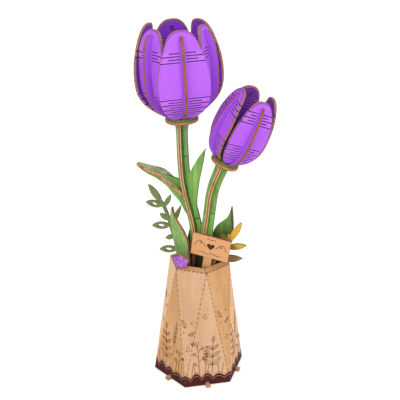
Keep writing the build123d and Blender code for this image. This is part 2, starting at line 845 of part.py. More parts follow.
def make_discs(name, place, radius, spin_deg, count, sizes, forward_deg=0):
    """The two discs of a head. The hole in the lower one leaves room for the tab to lean in it."""
    half = stem_tab_width / 2
    room = stem_plate / 2 + fit_gap + disc_thickness * math.tan(math.radians(forward_deg))
    hole = box_between(-half - fit_gap, half + fit_gap, -room, room, -overrun, disc_thickness + overrun)
    align = (Align.CENTER, Align.CENTER, Align.MIN)
    lower = Cylinder(radius, disc_thickness - fit_gap, align=align) - hole
    upper = Pos(0, 0, disc_thickness) * Cylinder(radius - disc_step, disc_thickness, align=align)
    for k in range(count):
        size = sizes[k % len(sizes)]
        seat = rib_seat(profile_points(size["foot"], size["belly"], size["height"], size["petal"]))
        foot = box_between(
            radius_at(seat, 0) - fit_gap, size["rib_foot"] + fit_gap,
            -rib_thickness / 2 - fit_gap, rib_thickness / 2 + fit_gap,
            disc_thickness - overrun, 2 * disc_thickness + overrun)
        upper -= petal_turn(spin_deg, k, count) * foot
    return {f"{name}_disc_lower": place * lower, f"{name}_disc_upper": place * upper}


def big_sizes():
    common = {
        "rib_foot": big_rib_foot_r,
        "upper_slits": (big_upper_slit_rows, big_upper_slit_share),
        "lower_slits": (big_lower_slit_rows, big_lower_slit_share),
        "petal": big_petal_profile_shares, "rib_shares": big_rib_profile_shares}
    outer = dict(
        common, foot=big_outer_foot_r, belly=big_outer_belly_r, rib=big_outer_rib_r,
        half_width=big_outer_half_width, height=big_outer_height, outline=outer_outline_shares)
    inner = dict(
        common, foot=big_inner_foot_r, belly=big_inner_belly_r, rib=big_inner_rib_r,
        half_width=big_inner_half_width, height=big_inner_height, outline=inner_outline_shares)
    return (outer, inner)


def small_sizes():
    return ({
        "foot": small_petal_foot_r, "rib_foot": small_rib_foot_r, "height": small_petal_height,
        "upper_slits": (small_upper_slit_rows, small_upper_slit_share),
        "lower_slits": (small_lower_slit_rows, small_lower_slit_share),
        "petal": small_petal_profile_shares, "rib_shares": small_rib_profile_shares,
        "belly": small_belly_r, "rib": small_rib_r, "half_width": small_half_width,
        "outline": small_outline_shares},)


def make_loose_leaf(x, y, facing_deg, height, half_width, reach, outline_shares):
    """A leaf that stands in the deck and bows outwards. Its outline is trimmed from a bent band."""
    points = [(reach * b, height * h) for h, b in leaf_bow_shares]
    half = leaf_thickness / 2
    near = offset_curve(points, half)
    far_side = offset_curve(points, -half)
    outline = closed_outline(near, far_side)
    wide = 2 * half_width
    face = Pos(0, -wide, 0) * Face(Wire(outline))
    band = extrude(face, amount=2 * wide, dir=(0, 1, 0))
    right = [Vector(0, half_width * b, height * h) for h, a, b in outline_shares]
    left = [Vector(0, half_width * a, height * h) for h, a, b in outline_shares]
    edge = Face(Wire(closed_outline(right, left)))
    trim = Pos(-far(), 0, 0) * extrude(edge, amount=2 * far(), dir=(1, 0, 0))
    low = box_between(-far(), far(), -far(), far(), fit_gap, far())
    foot = box_between(-half, half, -leaf_foot_half_width, leaf_foot_half_width, -deck_thickness, half)
    return Pos(x, y, deck_top) * Rot(0, 0, facing_deg) * ((band & trim & low) + foot)


def lens(root, tip, half_width):
    """A pointed leaf outline between two points in the XZ plane."""
    start = Vector(root[0], 0, root[1])
    end = Vector(tip[0], 0, tip[1])
    along = end - start
    across = Vector(-along.Z, 0, along.X).normalized() * half_width
    middle = start + along * 0.5
    return [ThreePointArc(start, middle + across, end), ThreePointArc(end, middle - across, start)]


def make_twig(foot_x, y_middle, reach, height, line_shares, leaf_shares):
    foot = (foot_x, deck_top)
    top = (foot_x + reach, deck_top + height)
    points = between(foot, top, line_shares)
    twig = ribbon(points, twig_stalk_half_width, twig_thickness, y_middle)
    for root_share, tip_share, width_share, framed in leaf_shares:
        ends = between(foot, top, (root_share, tip_share))
        half = twig_leaf_half_width * width_share
        twig += upright_plate(lens(*ends, half), twig_thickness, y_middle)
        if framed:
            window = lens(*frame_ends(*ends), half - twig_frame)
            twig -= upright_plate(window, twig_thickness + overrun, y_middle)
    half = twig_thickness / 2
    return twig + box_between(
        foot_x - twig_foot_half_width, foot_x + twig_foot_half_width, y_middle - half, y_middle + half,
        deck_low(), deck_top + twig_foot_half_width / 2)


def frame_ends(root, tip):
    """The ends of the hole in a framed leaf, each a little inside the leaf's own ends."""
    length = math.dist(root, tip)
    share = 3 * twig_frame / length
    first = [a + (b - a) * share for a, b in zip(root, tip)]
    last = [b + (a - b) * share for a, b in zip(root, tip)]
    return first, last


def stake_place():
    return Pos(stake_foot_x, stake_y, deck_top) * Rot(0, sign_lean_deg, 0)


def make_sign_stake():
    half = stake_thickness / 2
    stick = box_between(
        -stake_half_width, stake_half_width, -half, half, -deck_thickness, stake_length + stake_backing)
    bar = box_between(
        -crossbar_length / 2, crossbar_length / 2, -half, half,
        stake_length - crossbar_height, stake_length)
    tilted = stake_place() * (stick + bar)
    foot = box_between(
        stake_foot_x - stake_half_width / 2, stake_foot_x + stake_half_width / 2,
        stake_y - half, stake_y + half,
        deck_low(), deck_top + stake_half_width)
    return (tilted & above(deck_top + fit_gap)) + foot


def make_sign_board():
    back = -stake_thickness / 2 - fit_gap
    low = stake_length - crossbar_height / 2
    board = box_between(
        sign_offset - sign_width / 2, sign_offset + sign_width / 2, back - sign_thickness, back,
        low, low + sign_height)
    return stake_place() * board


def blossom_place():
    """The middle of the blossom's foot on the lip, leaning forward."""
    fold = side_middle(vase_top_r)
    mouth = side_middle(mouth_r)
    rise = lip_rise * blossom_setback / (fold - mouth)
    return Pos(blossom_x, blossom_setback - fold, vase_height + rise) * Rot(blossom_lean_deg, 0, 0)


def blossom_tongue(extra=0):
    half = blossom_thickness / 2 + extra
    width = tongue_width / 2 + extra
    return blossom_place() * box_between(-width, width, -half, half, -tongue_length, blossom_tip_r)


def make_rim_blossom():
    """Five pointed lobes, standing on the lip on the two lower ones."""
    points = []
    for k in range(2 * blossom_lobes):
        angle = math.radians(90 + blossom_turn_deg) + k * math.pi / blossom_lobes
        radius = blossom_valley_r if k % 2 else blossom_tip_r
        points.append((radius * math.cos(angle), radius * math.sin(angle)))
    lift = blossom_tip_r * math.cos(math.pi / blossom_lobes) + blossom_thickness / 2
    flower = Pos(0, 0, lift) * upright_plate([Spline(*xz(points), periodic=True)], blossom_thickness)
    return blossom_place() * flower + blossom_tongue()


def export_all(pieces):
    os.makedirs("parts", exist_ok=True)
    for name, piece in pieces.items():
        export_step(piece, f"parts/{name}.step")


pieces = {
    "vase_skin": make_vase_skin(),
    "base_plate": make_base_plate(),
    "stem_deck": make_stem_deck(),
    "inner_web_left": make_inner_web(-1),
    "inner_web_right": make_inner_web(1),
    "root_plate": make_root_plate(),
    "big_stem_middle": make_big_stem_middle(),
    "big_stem_top": make_big_stem_top(),
    "small_stem_top": make_small_stem_top(),
    "leaf_arched_blade": make_arched_blade(),
    "leaf_front": make_loose_leaf(
        front_leaf_x, front_leaf_y, front_leaf_facing_deg, front_leaf_height, front_leaf_half_width,
        front_leaf_reach, front_leaf_outline_shares),
    "leaf_right": make_loose_leaf(
        right_leaf_x, right_leaf_y, right_leaf_facing_deg, right_leaf_height, right_leaf_half_width,
        right_leaf_reach, right_leaf_outline_shares),
    "leaf_back": make_loose_leaf(
        back_leaf_x, back_leaf_y, back_leaf_facing_deg, back_leaf_height, back_leaf_half_width,
        back_leaf_reach, back_leaf_outline_shares),
    "twig_left": make_twig(
        left_twig_foot_x, left_twig_y, left_twig_reach, left_twig_height, left_twig_line_shares,
        left_twig_leaf_shares),
    "twig_right": make_twig(
        right_twig_foot_x, right_twig_y, right_twig_reach, right_twig_height, right_twig_line_shares,
        right_twig_leaf_shares),
    "sign_stake": make_sign_stake(),
    "sign_board": make_sign_board(),
    "rim_blossom": make_rim_blossom(),
}
for side, side_name in ((-1, "front"), (1, "back")):
    pieces[f"big_strip_{side_name}_lower"] = make_strip(
        big_line(), big_tabs(), side, deck_top, big_strip_joint, big_place())
    pieces[f"big_strip_{side_name}_upper"] = make_strip(
        big_line(), big_tabs(), side, big_strip_joint + fit_gap, far(), big_place())
    pieces[f"small_strip_{side_name}"] = make_strip(
        small_line(), small_tabs(), side, deck_top, far(), small_place())
pieces.update(make_discs(
    "big", big_place(), big_disc_r, big_spin_deg, len(big_petal_names), big_sizes(), big_forward_deg))
pieces.update(make_discs(
    "small", small_place(), small_disc_r, small_spin_deg, len(small_petal_names), small_sizes()))
pieces.update(head_pieces("big", big_place(), big_spin_deg, big_petal_names, big_sizes()))
pieces.update(head_pieces("small", small_place(), small_spin_deg, small_petal_names, small_sizes()))
export_all(pieces)
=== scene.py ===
import math
import bpy
from mathutils import Matrix, Vector


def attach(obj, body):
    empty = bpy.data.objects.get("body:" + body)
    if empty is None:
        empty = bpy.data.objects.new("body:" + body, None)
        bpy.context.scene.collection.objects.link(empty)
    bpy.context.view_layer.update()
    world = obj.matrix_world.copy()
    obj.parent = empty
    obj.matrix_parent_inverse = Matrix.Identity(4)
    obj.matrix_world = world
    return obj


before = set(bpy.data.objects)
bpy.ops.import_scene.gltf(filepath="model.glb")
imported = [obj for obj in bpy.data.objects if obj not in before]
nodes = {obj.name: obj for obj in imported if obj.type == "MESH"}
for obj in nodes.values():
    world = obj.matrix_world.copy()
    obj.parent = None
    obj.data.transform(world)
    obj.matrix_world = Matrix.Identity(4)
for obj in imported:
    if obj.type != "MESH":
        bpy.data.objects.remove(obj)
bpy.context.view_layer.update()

# Two wooden tulips in a faceted vase. Metres, in the frame of the solids; -Y is the front.
MM = 0.001

# The photo's camera: its place, its angles in degrees and its lens in millimetres
CAMERA_PLACE = (0.1963, -0.6301, 0.4536)
CAMERA_AZIMUTH = 17.3
CAMERA_PITCH = 22.23
CAMERA_ROLL = 0.37
CAMERA_LENS = 67.41
# The light from all round, and the floor with the glow that the camera sees on it
SOFT_LIGHT = 0.66
FLOOR_RADIUS = 8
FLOOR_HEIGHT = -0.00005
FLOOR_PAINT = (0.82, 0.82, 0.82, 1)
FLOOR_GLOW = 0.54
LAMP_AIM = Vector((0, 0, 0.18))

FRONT = Vector((0, 1, 0))
UP = Vector((0, 0, 1))

# Each flower head's foot on its stem, and the degrees that it leans right and forward and is spun round
BIG_HEAD = Vector((-17.9, 0, 261.0)) * MM
BIG_LEAN = -2.2
BIG_FORWARD = 4.2
BIG_SPIN = -2.6
SMALL_HEAD = Vector((23.3, 0, 223.7)) * MM
SMALL_LEAN = 24.2
SMALL_SPIN = 5.5
# The front petal's angle from +X before the spin
FIRST_PETAL = -60.0
BIG_PETALS = ("front", "right", "right_back", "back", "left_back", "left")
SMALL_PETALS = ("front", "right", "back", "left")

# The vase's corners, as distances from its axis and heights in millimetres
VASE_FOOT_RADIUS = 46.4
VASE_FOOT_HEIGHT = 1.6
VASE_RIM_RADIUS = 30.6
VASE_RIM_HEIGHT = 120.7

# How fine each pattern is, in repeats over a metre
PRINT_FIBRES = 420.0
BRUSH_FIBRES = 760.0
STRIP_FIBRES = 500.0
WOOD_FIBRES = 260.0
VENEER_FIBRES = 380.0
CHAR_PATCHES = 150.0
CHAR_GRAIN = 900.0
STRIP_PATCHES = 90.0
SCORCH_WAVES = 160.0
RIM_WAVES = 500.0
RIM_GRAIN = 800.0
BLOTS = 420.0
SPECKS = 620.0
CLOUDS = 34.0
BAND_MOTTLE = 300.0
SOOT = 700.0


def paint(red, green, blue):
    """A colour as a paint card gives it, 0 to 255, in the renderer's linear terms."""
    done = []
    for part in (red, green, blue):
        c = part / 255
        done.append(c / 12.92 if c <= 0.04045 else ((c + 0.055) / 1.055) ** 2.4)
    return (*done, 1.0)


def make_camera():
    """Looks from where the photo was taken."""
    azimuth = math.radians(CAMERA_AZIMUTH)
    pitch = math.radians(CAMERA_PITCH)
    bpy.ops.object.camera_add()
    camera = bpy.context.object
    camera.name = "photo_camera"
    camera.data.sensor_width = 36
    camera.data.lens = CAMERA_LENS
    camera.data.clip_start = 0.01
    camera.data.clip_end = 50
    ahead = Vector((
        -math.sin(azimuth) * math.cos(pitch), math.cos(azimuth) * math.cos(pitch), -math.sin(pitch)))
    right = Vector((math.cos(azimuth), math.sin(azimuth), 0))
    up = right.cross(ahead)
    level = Matrix((right, up, -ahead)).transposed().to_4x4()
    roll = Matrix.Rotation(math.radians(CAMERA_ROLL), 4, "Z")
    camera.matrix_world = Matrix.Translation(CAMERA_PLACE) @ level @ roll
    bpy.context.scene.camera = camera


def make_lamp(name, place, size, power):
    """A round soft lamp, aimed at the middle of the object."""
    bpy.ops.object.light_add(type="AREA", location=place)
    lamp = bpy.context.object
    lamp.name = name
    lamp.data.shape = "DISK"
    lamp.data.size = size
    lamp.data.energy = power
    lamp.rotation_euler = (LAMP_AIM - Vector(place)).to_track_quat("-Z", "Y").to_euler()


def seen_mask(build):
    """1 for what the camera sees, in a mirror finish or through glass too, and 0 for light on the object."""
    path = build.add("ShaderNodeLightPath")
    first = build.math("MAXIMUM", path.outputs["Is Camera Ray"], path.outputs["Is Glossy Ray"])
    return build.math("MAXIMUM", first, path.outputs["Is Transmission Ray"])


def empty_tree(owner):
    """Gives a material or world an empty node tree, and returns the builder for it."""
    owner.use_nodes = True
    owner.node_tree.nodes.clear()
    return Builder(owner.node_tree)


def make_world():
    """A plain white background, and soft light of its own strength on the object."""
    world = bpy.data.worlds.new("white_studio")
    bpy.context.scene.world = world
    build = empty_tree(world)
    soft = build.add("ShaderNodeBackground", {"Color": (1, 1, 1, 1), "Strength": SOFT_LIGHT})
    white = build.add("ShaderNodeBackground", {"Color": (1, 1, 1, 1), "Strength": 1.0})
    mix = build.add("ShaderNodeMixShader", {0: seen_mask(build), 1: soft.outputs[0], 2: white.outputs[0]})
    build.add("ShaderNodeOutputWorld", {"Surface": mix.outputs[0]})


def make_floor():
    """A wide pale floor that keeps the object's shadow."""
    bpy.ops.mesh.primitive_circle_add(
        vertices=64, radius=FLOOR_RADIUS, fill_type="NGON", location=(0, 0, FLOOR_HEIGHT))
    floor = bpy.context.object
    floor.name = "pale_floor"
    material = bpy.data.materials.new("pale_floor_paint")
    build = empty_tree(material)
    matt = build.add("ShaderNodeBsdfDiffuse", {"Color": FLOOR_PAINT})
    lift = build.math("MULTIPLY", seen_mask(build), FLOOR_GLOW)
    glow = build.add("ShaderNodeEmission", {"Color": (1, 1, 1, 1), "Strength": lift})
    both = build.add("ShaderNodeAddShader", {0: matt.outputs[0], 1: glow.outputs[0]})
    build.add("ShaderNodeOutputMaterial", {"Surface": both.outputs[0]})
    floor.data.materials.append(material)


class Builder:
    """Adds nodes to one tree. An input is given a plain value or another node's output."""

    def __init__(self, tree):
        self.tree = tree

    def add(self, kind, inputs=None, **settings):
        node = self.tree.nodes.new(kind)
        for key, value in settings.items():
            setattr(node, key, value)
        for key, value in (inputs or {}).items():
            self.feed(node.inputs[key], value)
        return node

    def feed(self, socket, value):
        if isinstance(value, bpy.types.NodeSocket):
            self.tree.links.new(value, socket)
        else:
            socket.default_value = value

    def math(self, operation, a, b=0.0, c=0.0, clamp=False):
        node = self.add("ShaderNodeMath", operation=operation, use_clamp=clamp)
        for socket, value in zip(node.inputs, (a, b, c)):
            self.feed(socket, value)
        return node.outputs[0]

    def vector(self, operation, a, b=(0.0, 0.0, 0.0), scale=None):
        node = self.add("ShaderNodeVectorMath", operation=operation)
        self.feed(node.inputs[0], a)
        self.feed(node.inputs[1], b)
        if scale is not None:
            self.feed(node.inputs["Scale"], scale)
        return node.outputs["Value" if operation in ("DOT_PRODUCT", "LENGTH") else "Vector"]

    def mix(self, share, a, b, blend="MIX"):
        node = self.add("ShaderNodeMix", data_type="RGBA", blend_type=blend)
        node.clamp_factor = True
        self.feed(node.inputs[0], share)
        self.feed(node.inputs[6], a)
        self.feed(node.inputs[7], b)
        return node.outputs[2]

    def lay(self, mask, strength, under, over):
        """Lays one colour over another where the mask is, at a strength."""
        return self.mix(self.math("MULTIPLY", mask, strength), under, over)

    def step(self, value, low, high, to_low=0.0, to_high=1.0):
        """Eases from one value to another as its input passes from low to high."""
        node = self.add("ShaderNodeMapRange", interpolation_type="SMOOTHSTEP")
        for socket, given in zip(node.inputs, (value, low, high, to_low, to_high)):
            self.feed(socket, given)
        return node.outputs[0]

    def noise(self, vector, scale, detail=3.0, roughness=0.6):
        node = self.add("ShaderNodeTexNoise", {
            "Vector": vector, "Scale": scale, "Detail": detail, "Roughness": roughness})
        return node.outputs["Fac"]

    def bend(self, value, line):
        """Follows a smooth line of (input, output) pairs, each between 0 and 1."""
        node = self.add("ShaderNodeFloatCurve", {"Value": value})
        curve = node.mapping.curves[0]
        while len(curve.points) < len(line):
            curve.points.new(0.5, 0.5)
        for point, place in zip(curve.points, line):
            point.location = place
        node.mapping.update()
        return node.outputs[0]

    def split(self, vector):
        return self.add("ShaderNodeSeparateXYZ", {0: vector}).outputs

    def join(self, x, y, z):
        return self.add("ShaderNodeCombineXYZ", {0: x, 1: y, 2: z}).outputs[0]

    def along(self, vector, start, axis):
        """How far a place lies from a start along an axis."""
        return self.vector("DOT_PRODUCT", self.vector("SUBTRACT", vector, tuple(start)), tuple(axis))

    def object_normal(self):
        """The way the face looks, in the object's own terms."""
        normal = self.add("ShaderNodeNewGeometry").outputs["True Normal"]
        return self.add(
            "ShaderNodeVectorTransform", {0: normal}, vector_type="NORMAL", convert_from="WORLD",
            convert_to="OBJECT").outputs[0]

    def use(self, group, **inputs):
        """Adds a named group. An underscore in an input's name stands for a space."""
        node = self.add("ShaderNodeGroup", node_tree=group)
        for key, value in inputs.items():
            self.feed(node.inputs[key.replace("_", " ")], value)
        return node.outputs


def new_group(name, inputs, outputs):
    """A shader node group with named sockets. Returns its tree, a builder, its inputs and the output node."""
    tree = bpy.data.node_groups.new(name, "ShaderNodeTree")
    kinds = {"vector": "NodeSocketVector", "value": "NodeSocketFloat", "colour": "NodeSocketColor"}
    for socket, kind in inputs:
        tree.interface.new_socket(socket, in_out="INPUT", socket_type=kinds[kind])
    for socket, kind in outputs:
        tree.interface.new_socket(socket, in_out="OUTPUT", socket_type=kinds[kind])
    build = Builder(tree)
    given = build.add("NodeGroupInput").outputs
    result = build.add("NodeGroupOutput").inputs
    return tree, build, given, result


def make_cut_edge_group():
    """Finds a plate's cut edges: the faces whose direction has less than Reach of the face axis in it."""
    tree, build, given, result = new_group(
        "Cut Edge", [("Face Axis", "vector"), ("Reach", "value")], [("Mask", "value"), ("Outward", "value")])
    toward = build.vector("DOT_PRODUCT", build.object_normal(), given["Face Axis"])
    size = build.math("ABSOLUTE", toward)
    build.feed(result["Mask"], build.math("LESS_THAN", size, given["Reach"]))
    build.feed(result["Outward"], build.math("GREATER_THAN", toward, 0.0))
    return tree


FIBRE_STRETCH = 0.955
STREAK_SCALE = 0.22


def make_grain_group():
    """Fine fibres that run along one direction, with broader streaks between them."""
    tree, build, given, result = new_group(
        "Wood Grain", [("Vector", "vector"), ("Along", "vector"), ("Fibres", "value"), ("Seed", "value")],
        [("Fibre", "value"), ("Streak", "value")])
    drop = build.vector("DOT_PRODUCT", given["Vector"], given["Along"])
    shorter = build.math("MULTIPLY", drop, FIBRE_STRETCH)
    flat = build.vector("SUBTRACT", given["Vector"], build.vector("SCALE", given["Along"], scale=shorter))
    moved = build.vector("ADD", flat, build.join(given["Seed"], given["Seed"], given["Seed"]))
    build.feed(result["Fibre"], build.noise(moved, given["Fibres"], 5.0, 0.7))
    wide = build.math("MULTIPLY", given["Fibres"], STREAK_SCALE)
    build.feed(result["Streak"], build.noise(moved, wide, 3.0, 0.55))
    return tree


def make_burn_group():
    """The colour of a laser-cut edge: two tones of wood, with patches of char."""
    tree, build, given, result = new_group(
        "Burnt Cut", [("Vector", "vector"), ("Light", "colour"), ("Dark", "colour"), ("Char", "value")],
        [("Colour", "colour"), ("Height", "value")])
    patches = build.noise(given["Vector"], CHAR_PATCHES, 4.0, 0.65)
    fine = build.noise(given["Vector"], CHAR_GRAIN)
    wood = build.mix(build.step(fine, 0.35, 0.65), given["Dark"], given["Light"])
    charred = build.math("MULTIPLY", build.step(patches, 0.47, 0.66), given["Char"])
    soot = build.mix(0.72, given["Dark"], paint(58, 34, 26))
    build.feed(result["Colour"], build.mix(charred, wood, soot))
    build.feed(result["Height"], fine)
    return tree


# The step from one kerf row to the next and the room left beside a rib, in millimetres
KERF_PITCH = 2.6
RIB_ROOM = 2.8


def make_kerf_group():
    """Rows of kerf slits from one height upwards or downwards. Every other row stops short of the edge."""
    tree, build, given, result = new_group(
        "Kerf Rows", [("Rise", "value"), ("Side", "value"), ("Short End", "value"), ("Rows", "value")],
        [("Line", "value"), ("Zone", "value")])
    turns = build.math("DIVIDE", given["Rise"], KERF_PITCH * MM)
    whole = build.math("ROUND", turns)
    off = build.math("ABSOLUTE", build.math("SUBTRACT", turns, whole))
    line = build.step(off, 0.13, 0.27, 1, 0)
    begun = build.math("GREATER_THAN", turns, -0.5)
    left = build.math("LESS_THAN", turns, build.math("SUBTRACT", given["Rows"], 0.5))
    inside = build.math("MULTIPLY", begun, left)
    clear = build.math("GREATER_THAN", given["Side"], RIB_ROOM * MM)
    odd = build.math("MODULO", build.math("ABSOLUTE", whole), 2.0)
    beyond = build.math("GREATER_THAN", given["Side"], given["Short End"])
    ended = build.math("SUBTRACT", 1.0, build.math("MULTIPLY", odd, beyond))
    shown = build.math("MULTIPLY", build.math("MULTIPLY", inside, clear), ended)
    build.feed(result["Line"], build.math("MULTIPLY", line, shown))
    build.feed(result["Zone"], build.math("MULTIPLY", inside, clear))
    return tree


# The dashes on the folds and rim, and the foot band's height, scallops and two thin lines, in millimetres.
# A dash's share is the part of its pitch that it fills
DASH_PITCH = 5.0
DASH_SHARE = 0.62
RIM_DASH_PITCH = 3.4
RIM_DASH_SHARE = 0.6
BAND_HEIGHT = 9.6
SCALLOP_HEIGHT = 4.2
SCALLOP_CHANGE = 1.3
SCALLOP_PITCH = 11.6
RIM_LINE_RISE = 1.6
ARC_DROP = 2.6


def make_fold_group():
    """Dashes along the vase's folds, and the scalloped band round its foot."""
    tree, build, given, result = new_group(
        "Vase Folds", [("Vector", "vector")],
        [("Dashes", "value"), ("Band", "value"), ("Rim Line", "value"), ("Arcs", "value")])
    x, y, z = build.split(given["Vector"])
    turn = build.math("ARCTAN2", y, x)
    sixth = math.pi / 3
    # The rim's corners lie at whole sixths of a turn, so every sixth is folded onto the one round +X
    wrapped = build.math("WRAP", turn, sixth / 2, -sixth / 2)
    radius = build.vector("LENGTH", build.join(x, y, 0.0))
    fx = build.math("MULTIPLY", radius, build.math("COSINE", wrapped))
    fy = build.math("MULTIPLY", radius, build.math("SINE", wrapped))
    side = build.math("ABSOLUTE", fy)
    folded = build.join(fx, side, z)
    top = Vector((VASE_RIM_RADIUS, 0, VASE_RIM_HEIGHT)) * MM
    corner = (VASE_FOOT_RADIUS * math.cos(sixth / 2), VASE_FOOT_RADIUS * math.sin(sixth / 2))
    foot = Vector((*corner, VASE_FOOT_HEIGHT)) * MM
    way = (foot - top).normalized()
    rel = build.vector("SUBTRACT", folded, tuple(top))
    along = build.vector("DOT_PRODUCT", rel, tuple(way))
    away = build.vector("LENGTH", build.vector("CROSS_PRODUCT", rel, tuple(way)))
    beat = build.math("FRACT", build.math("DIVIDE", along, DASH_PITCH * MM))
    near_fold = build.step(away, 0.38 * MM, 0.54 * MM, 1, 0)
    dash = build.math("MULTIPLY", build.math("LESS_THAN", beat, DASH_SHARE), near_fold)
    rim_beat = build.math("FRACT", build.math("DIVIDE", side, RIM_DASH_PITCH * MM))
    below_rim = build.math("ABSOLUTE", build.math("SUBTRACT", z, (VASE_RIM_HEIGHT - 0.2) * MM))
    near_rim = build.math("LESS_THAN", below_rim, 0.45 * MM)
    rim = build.math("MULTIPLY", build.math("LESS_THAN", rim_beat, RIM_DASH_SHARE), near_rim)
    build.feed(result["Dashes"], build.math("MAXIMUM", dash, rim))
    wave = build.math("COSINE", build.math("MULTIPLY", fy, math.pi / (SCALLOP_PITCH * MM)))
    swell = build.math("COSINE", build.math("MULTIPLY", turn, 5.0))
    tall = build.math("MULTIPLY_ADD", swell, SCALLOP_CHANGE * MM, SCALLOP_HEIGHT * MM)
    scallop = build.math("MULTIPLY", build.math("ABSOLUTE", wave), tall)
    over = build.math("SUBTRACT", z, build.math("ADD", scallop, BAND_HEIGHT * MM))
    build.feed(result["Band"], build.step(over, 0.0, 0.25 * MM, 1, 0))
    line = build.math("ABSOLUTE", build.math("SUBTRACT", over, RIM_LINE_RISE * MM))
    build.feed(result["Rim Line"], build.step(line, 0.25 * MM, 0.4 * MM, 1, 0))
    arc = build.math("ABSOLUTE", build.math("ADD", over, ARC_DROP * MM))
    build.feed(result["Arcs"], build.step(arc, 0.2 * MM, 0.42 * MM, 1, 0))
    return tree


# How far each glue line lies from a strip's middle, in millimetres
GLUE_LINE_OFF = 0.62


def make_ply_group():
    """The layers of a strip's edge: a core, and a dark glue line on each side of it."""
    tree, build, given, result = new_group(
        "Ply Layers", [("Off", "value")], [("Core", "value"), ("Glue Line", "value")])
    off = build.math("ABSOLUTE", given["Off"])
    build.feed(result["Core"], build.step(off, 0.50 * MM, 0.72 * MM, 1, 0))
    apart = build.math("ABSOLUTE", build.math("SUBTRACT", off, GLUE_LINE_OFF * MM))
    build.feed(result["Glue Line"], build.step(apart, 0.10 * MM, 0.22 * MM, 1, 0))
    return tree


# The groups that the materials share
GROUPS = {
    "edge": make_cut_edge_group(),
    "grain": make_grain_group(),
    "burn": make_burn_group(),
    "kerf": make_kerf_group(),
    "folds": make_fold_group(),
    "ply": make_ply_group(),
}
RELIEF_DEPTH = 0.2


def new_material(name):
    """A material to build on, with the place on the object that its patterns follow."""
    material = bpy.data.materials.new(name)
    build = empty_tree(material)
    place = build.add("ShaderNodeTexCoord").outputs["Object"]
    return material, build, place


def finish_material(build, colour, roughness, height, bump, gloss=0.35):
    """Ends a material: its colour and roughness, with a little relief from a height."""
    relief = build.add("ShaderNodeBump", {"Strength": bump, "Distance": RELIEF_DEPTH * MM, "Height": height})
    shader = build.add("ShaderNodeBsdfPrincipled", {
        "Base Color": colour, "Roughness": roughness, "Specular IOR Level": gloss,
        "Normal": relief.outputs[0]})
    build.add("ShaderNodeOutputMaterial", {"Surface": shader.outputs[0]})


# A light and a dark paint for the cut edges of each kind of ply
TAN_CUT = ((214, 163, 116), (176, 120, 76))
BROWN_CUT = ((176, 106, 72), (140, 78, 50))
OLIVE_CUT = ((150, 132, 84), (96, 92, 48))


def burnt_cut(build, place, cut, char):
    """A laser-cut edge's outputs, from its light and dark paint and how much of it is charred."""
    light, dark = cut
    return build.use(GROUPS["burn"], Vector=place, Light=paint(*light), Dark=paint(*dark), Char=char)


def printed_ply(
        name, face_axis, along, outer, inner=None, reach=0.5, cut=TAN_CUT, char=0.75, seed=0.0,
        fibres=PRINT_FIBRES, streak=0.3, deepen=(176, 170, 172), shade=None, over_all=None):
    """Thin plywood printed on both faces, with burnt cut edges.

    What shade returns is the print itself, with any painted shade, and over_all works on the face and the
    edges together.
    """
    material, build, place = new_material(name)
    edge = build.use(GROUPS["edge"], Face_Axis=tuple(face_axis), Reach=reach)
    grain = build.use(GROUPS["grain"], Vector=place, Along=tuple(along), Fibres=fibres, Seed=seed)
    # Faces turned inwards take the inner paint; for petals that darker paint is painted shade inside the cup
    face = build.mix(edge["Outward"], paint(*(inner or outer)), paint(*outer))
    if shade:
        face = shade(build, place, face, grain)
    deep = build.mix(1.0, face, paint(*deepen), "MULTIPLY")
    face = build.lay(build.step(grain["Fibre"], 0.45, 0.75), streak, face, deep)
    light = build.mix(1.0, face, paint(255, 255, 255), "SOFT_LIGHT")
    face = build.lay(build.step(grain["Streak"], 0.48, 0.7), streak * 0.6, face, light)
    burn = burnt_cut(build, place, cut, char)
    colour = build.mix(edge["Mask"], face, burn["Colour"])
    if over_all:
        colour = over_all(build, place, colour, edge)
    rough = build.math("MULTIPLY_ADD", grain["Fibre"], 0.25, 0.40)
    rough = build.math("MULTIPLY_ADD", edge["Mask"], 0.25, rough)
    finish_material(build, colour, rough, build.math("ADD", grain["Fibre"], burn["Height"]), 0.3)
    return material


def give(node, material):
    """Dresses a node's own mesh in one material."""
    piece = nodes[node]
    piece.data.materials.clear()
    piece.data.materials.append(material)


PURPLE = (190, 99, 243)
# The petals' inner faces are painted darker purple: painted shade inside each flower's cup, deeper in the
# small one
BIG_INSIDE_SHADED = (158, 72, 230)
SMALL_INSIDE_SHADED = (134, 56, 192)
PURPLE_SIDE = (172, 90, 228)


def head_turn(lean, forward, angle):
    """A flower head's turn. Its columns are outwards, sideways and up, for the petal at an angle."""
    tipped = Matrix.Rotation(math.radians(lean), 3, "Y") @ Matrix.Rotation(math.radians(forward), 3, "X")
    return tipped @ Matrix.Rotation(math.radians(angle), 3, "Z")


def petal_shade(foot, upward):
    """Paints a petal a little darker towards its foot: painted shade where the petals curve in to the disc.
    """
    def shade(build, place, face, grain):
        low = build.step(build.along(place, foot, upward), 2 * MM, 26 * MM, 1, 0)
        return build.lay(low, 0.35, face, paint(150, 72, 214))
    return shade


# Each petal's outline, as shares of its height and of its half width
OUTER_OUTLINE = (
    (0, 0.40), (0.13, 0.78), (0.27, 0.95), (0.45, 1), (0.62, 0.94), (0.76, 0.78), (0.87, 0.63), (0.94, 0.49),
    (0.985, 0.28), (1, 0))
INNER_OUTLINE = (
    (0, 0.24), (0.13, 0.60), (0.27, 0.90), (0.45, 1), (0.62, 1), (0.76, 0.96), (0.87, 0.84), (0.94, 0.64),
    (0.985, 0.38), (1, 0))
SMALL_OUTLINE = (
    (0, 0.33), (0.13, 0.74), (0.27, 0.94), (0.45, 1), (0.62, 0.95), (0.76, 0.82), (0.87, 0.66), (0.94, 0.49),
    (0.985, 0.28), (1, 0))
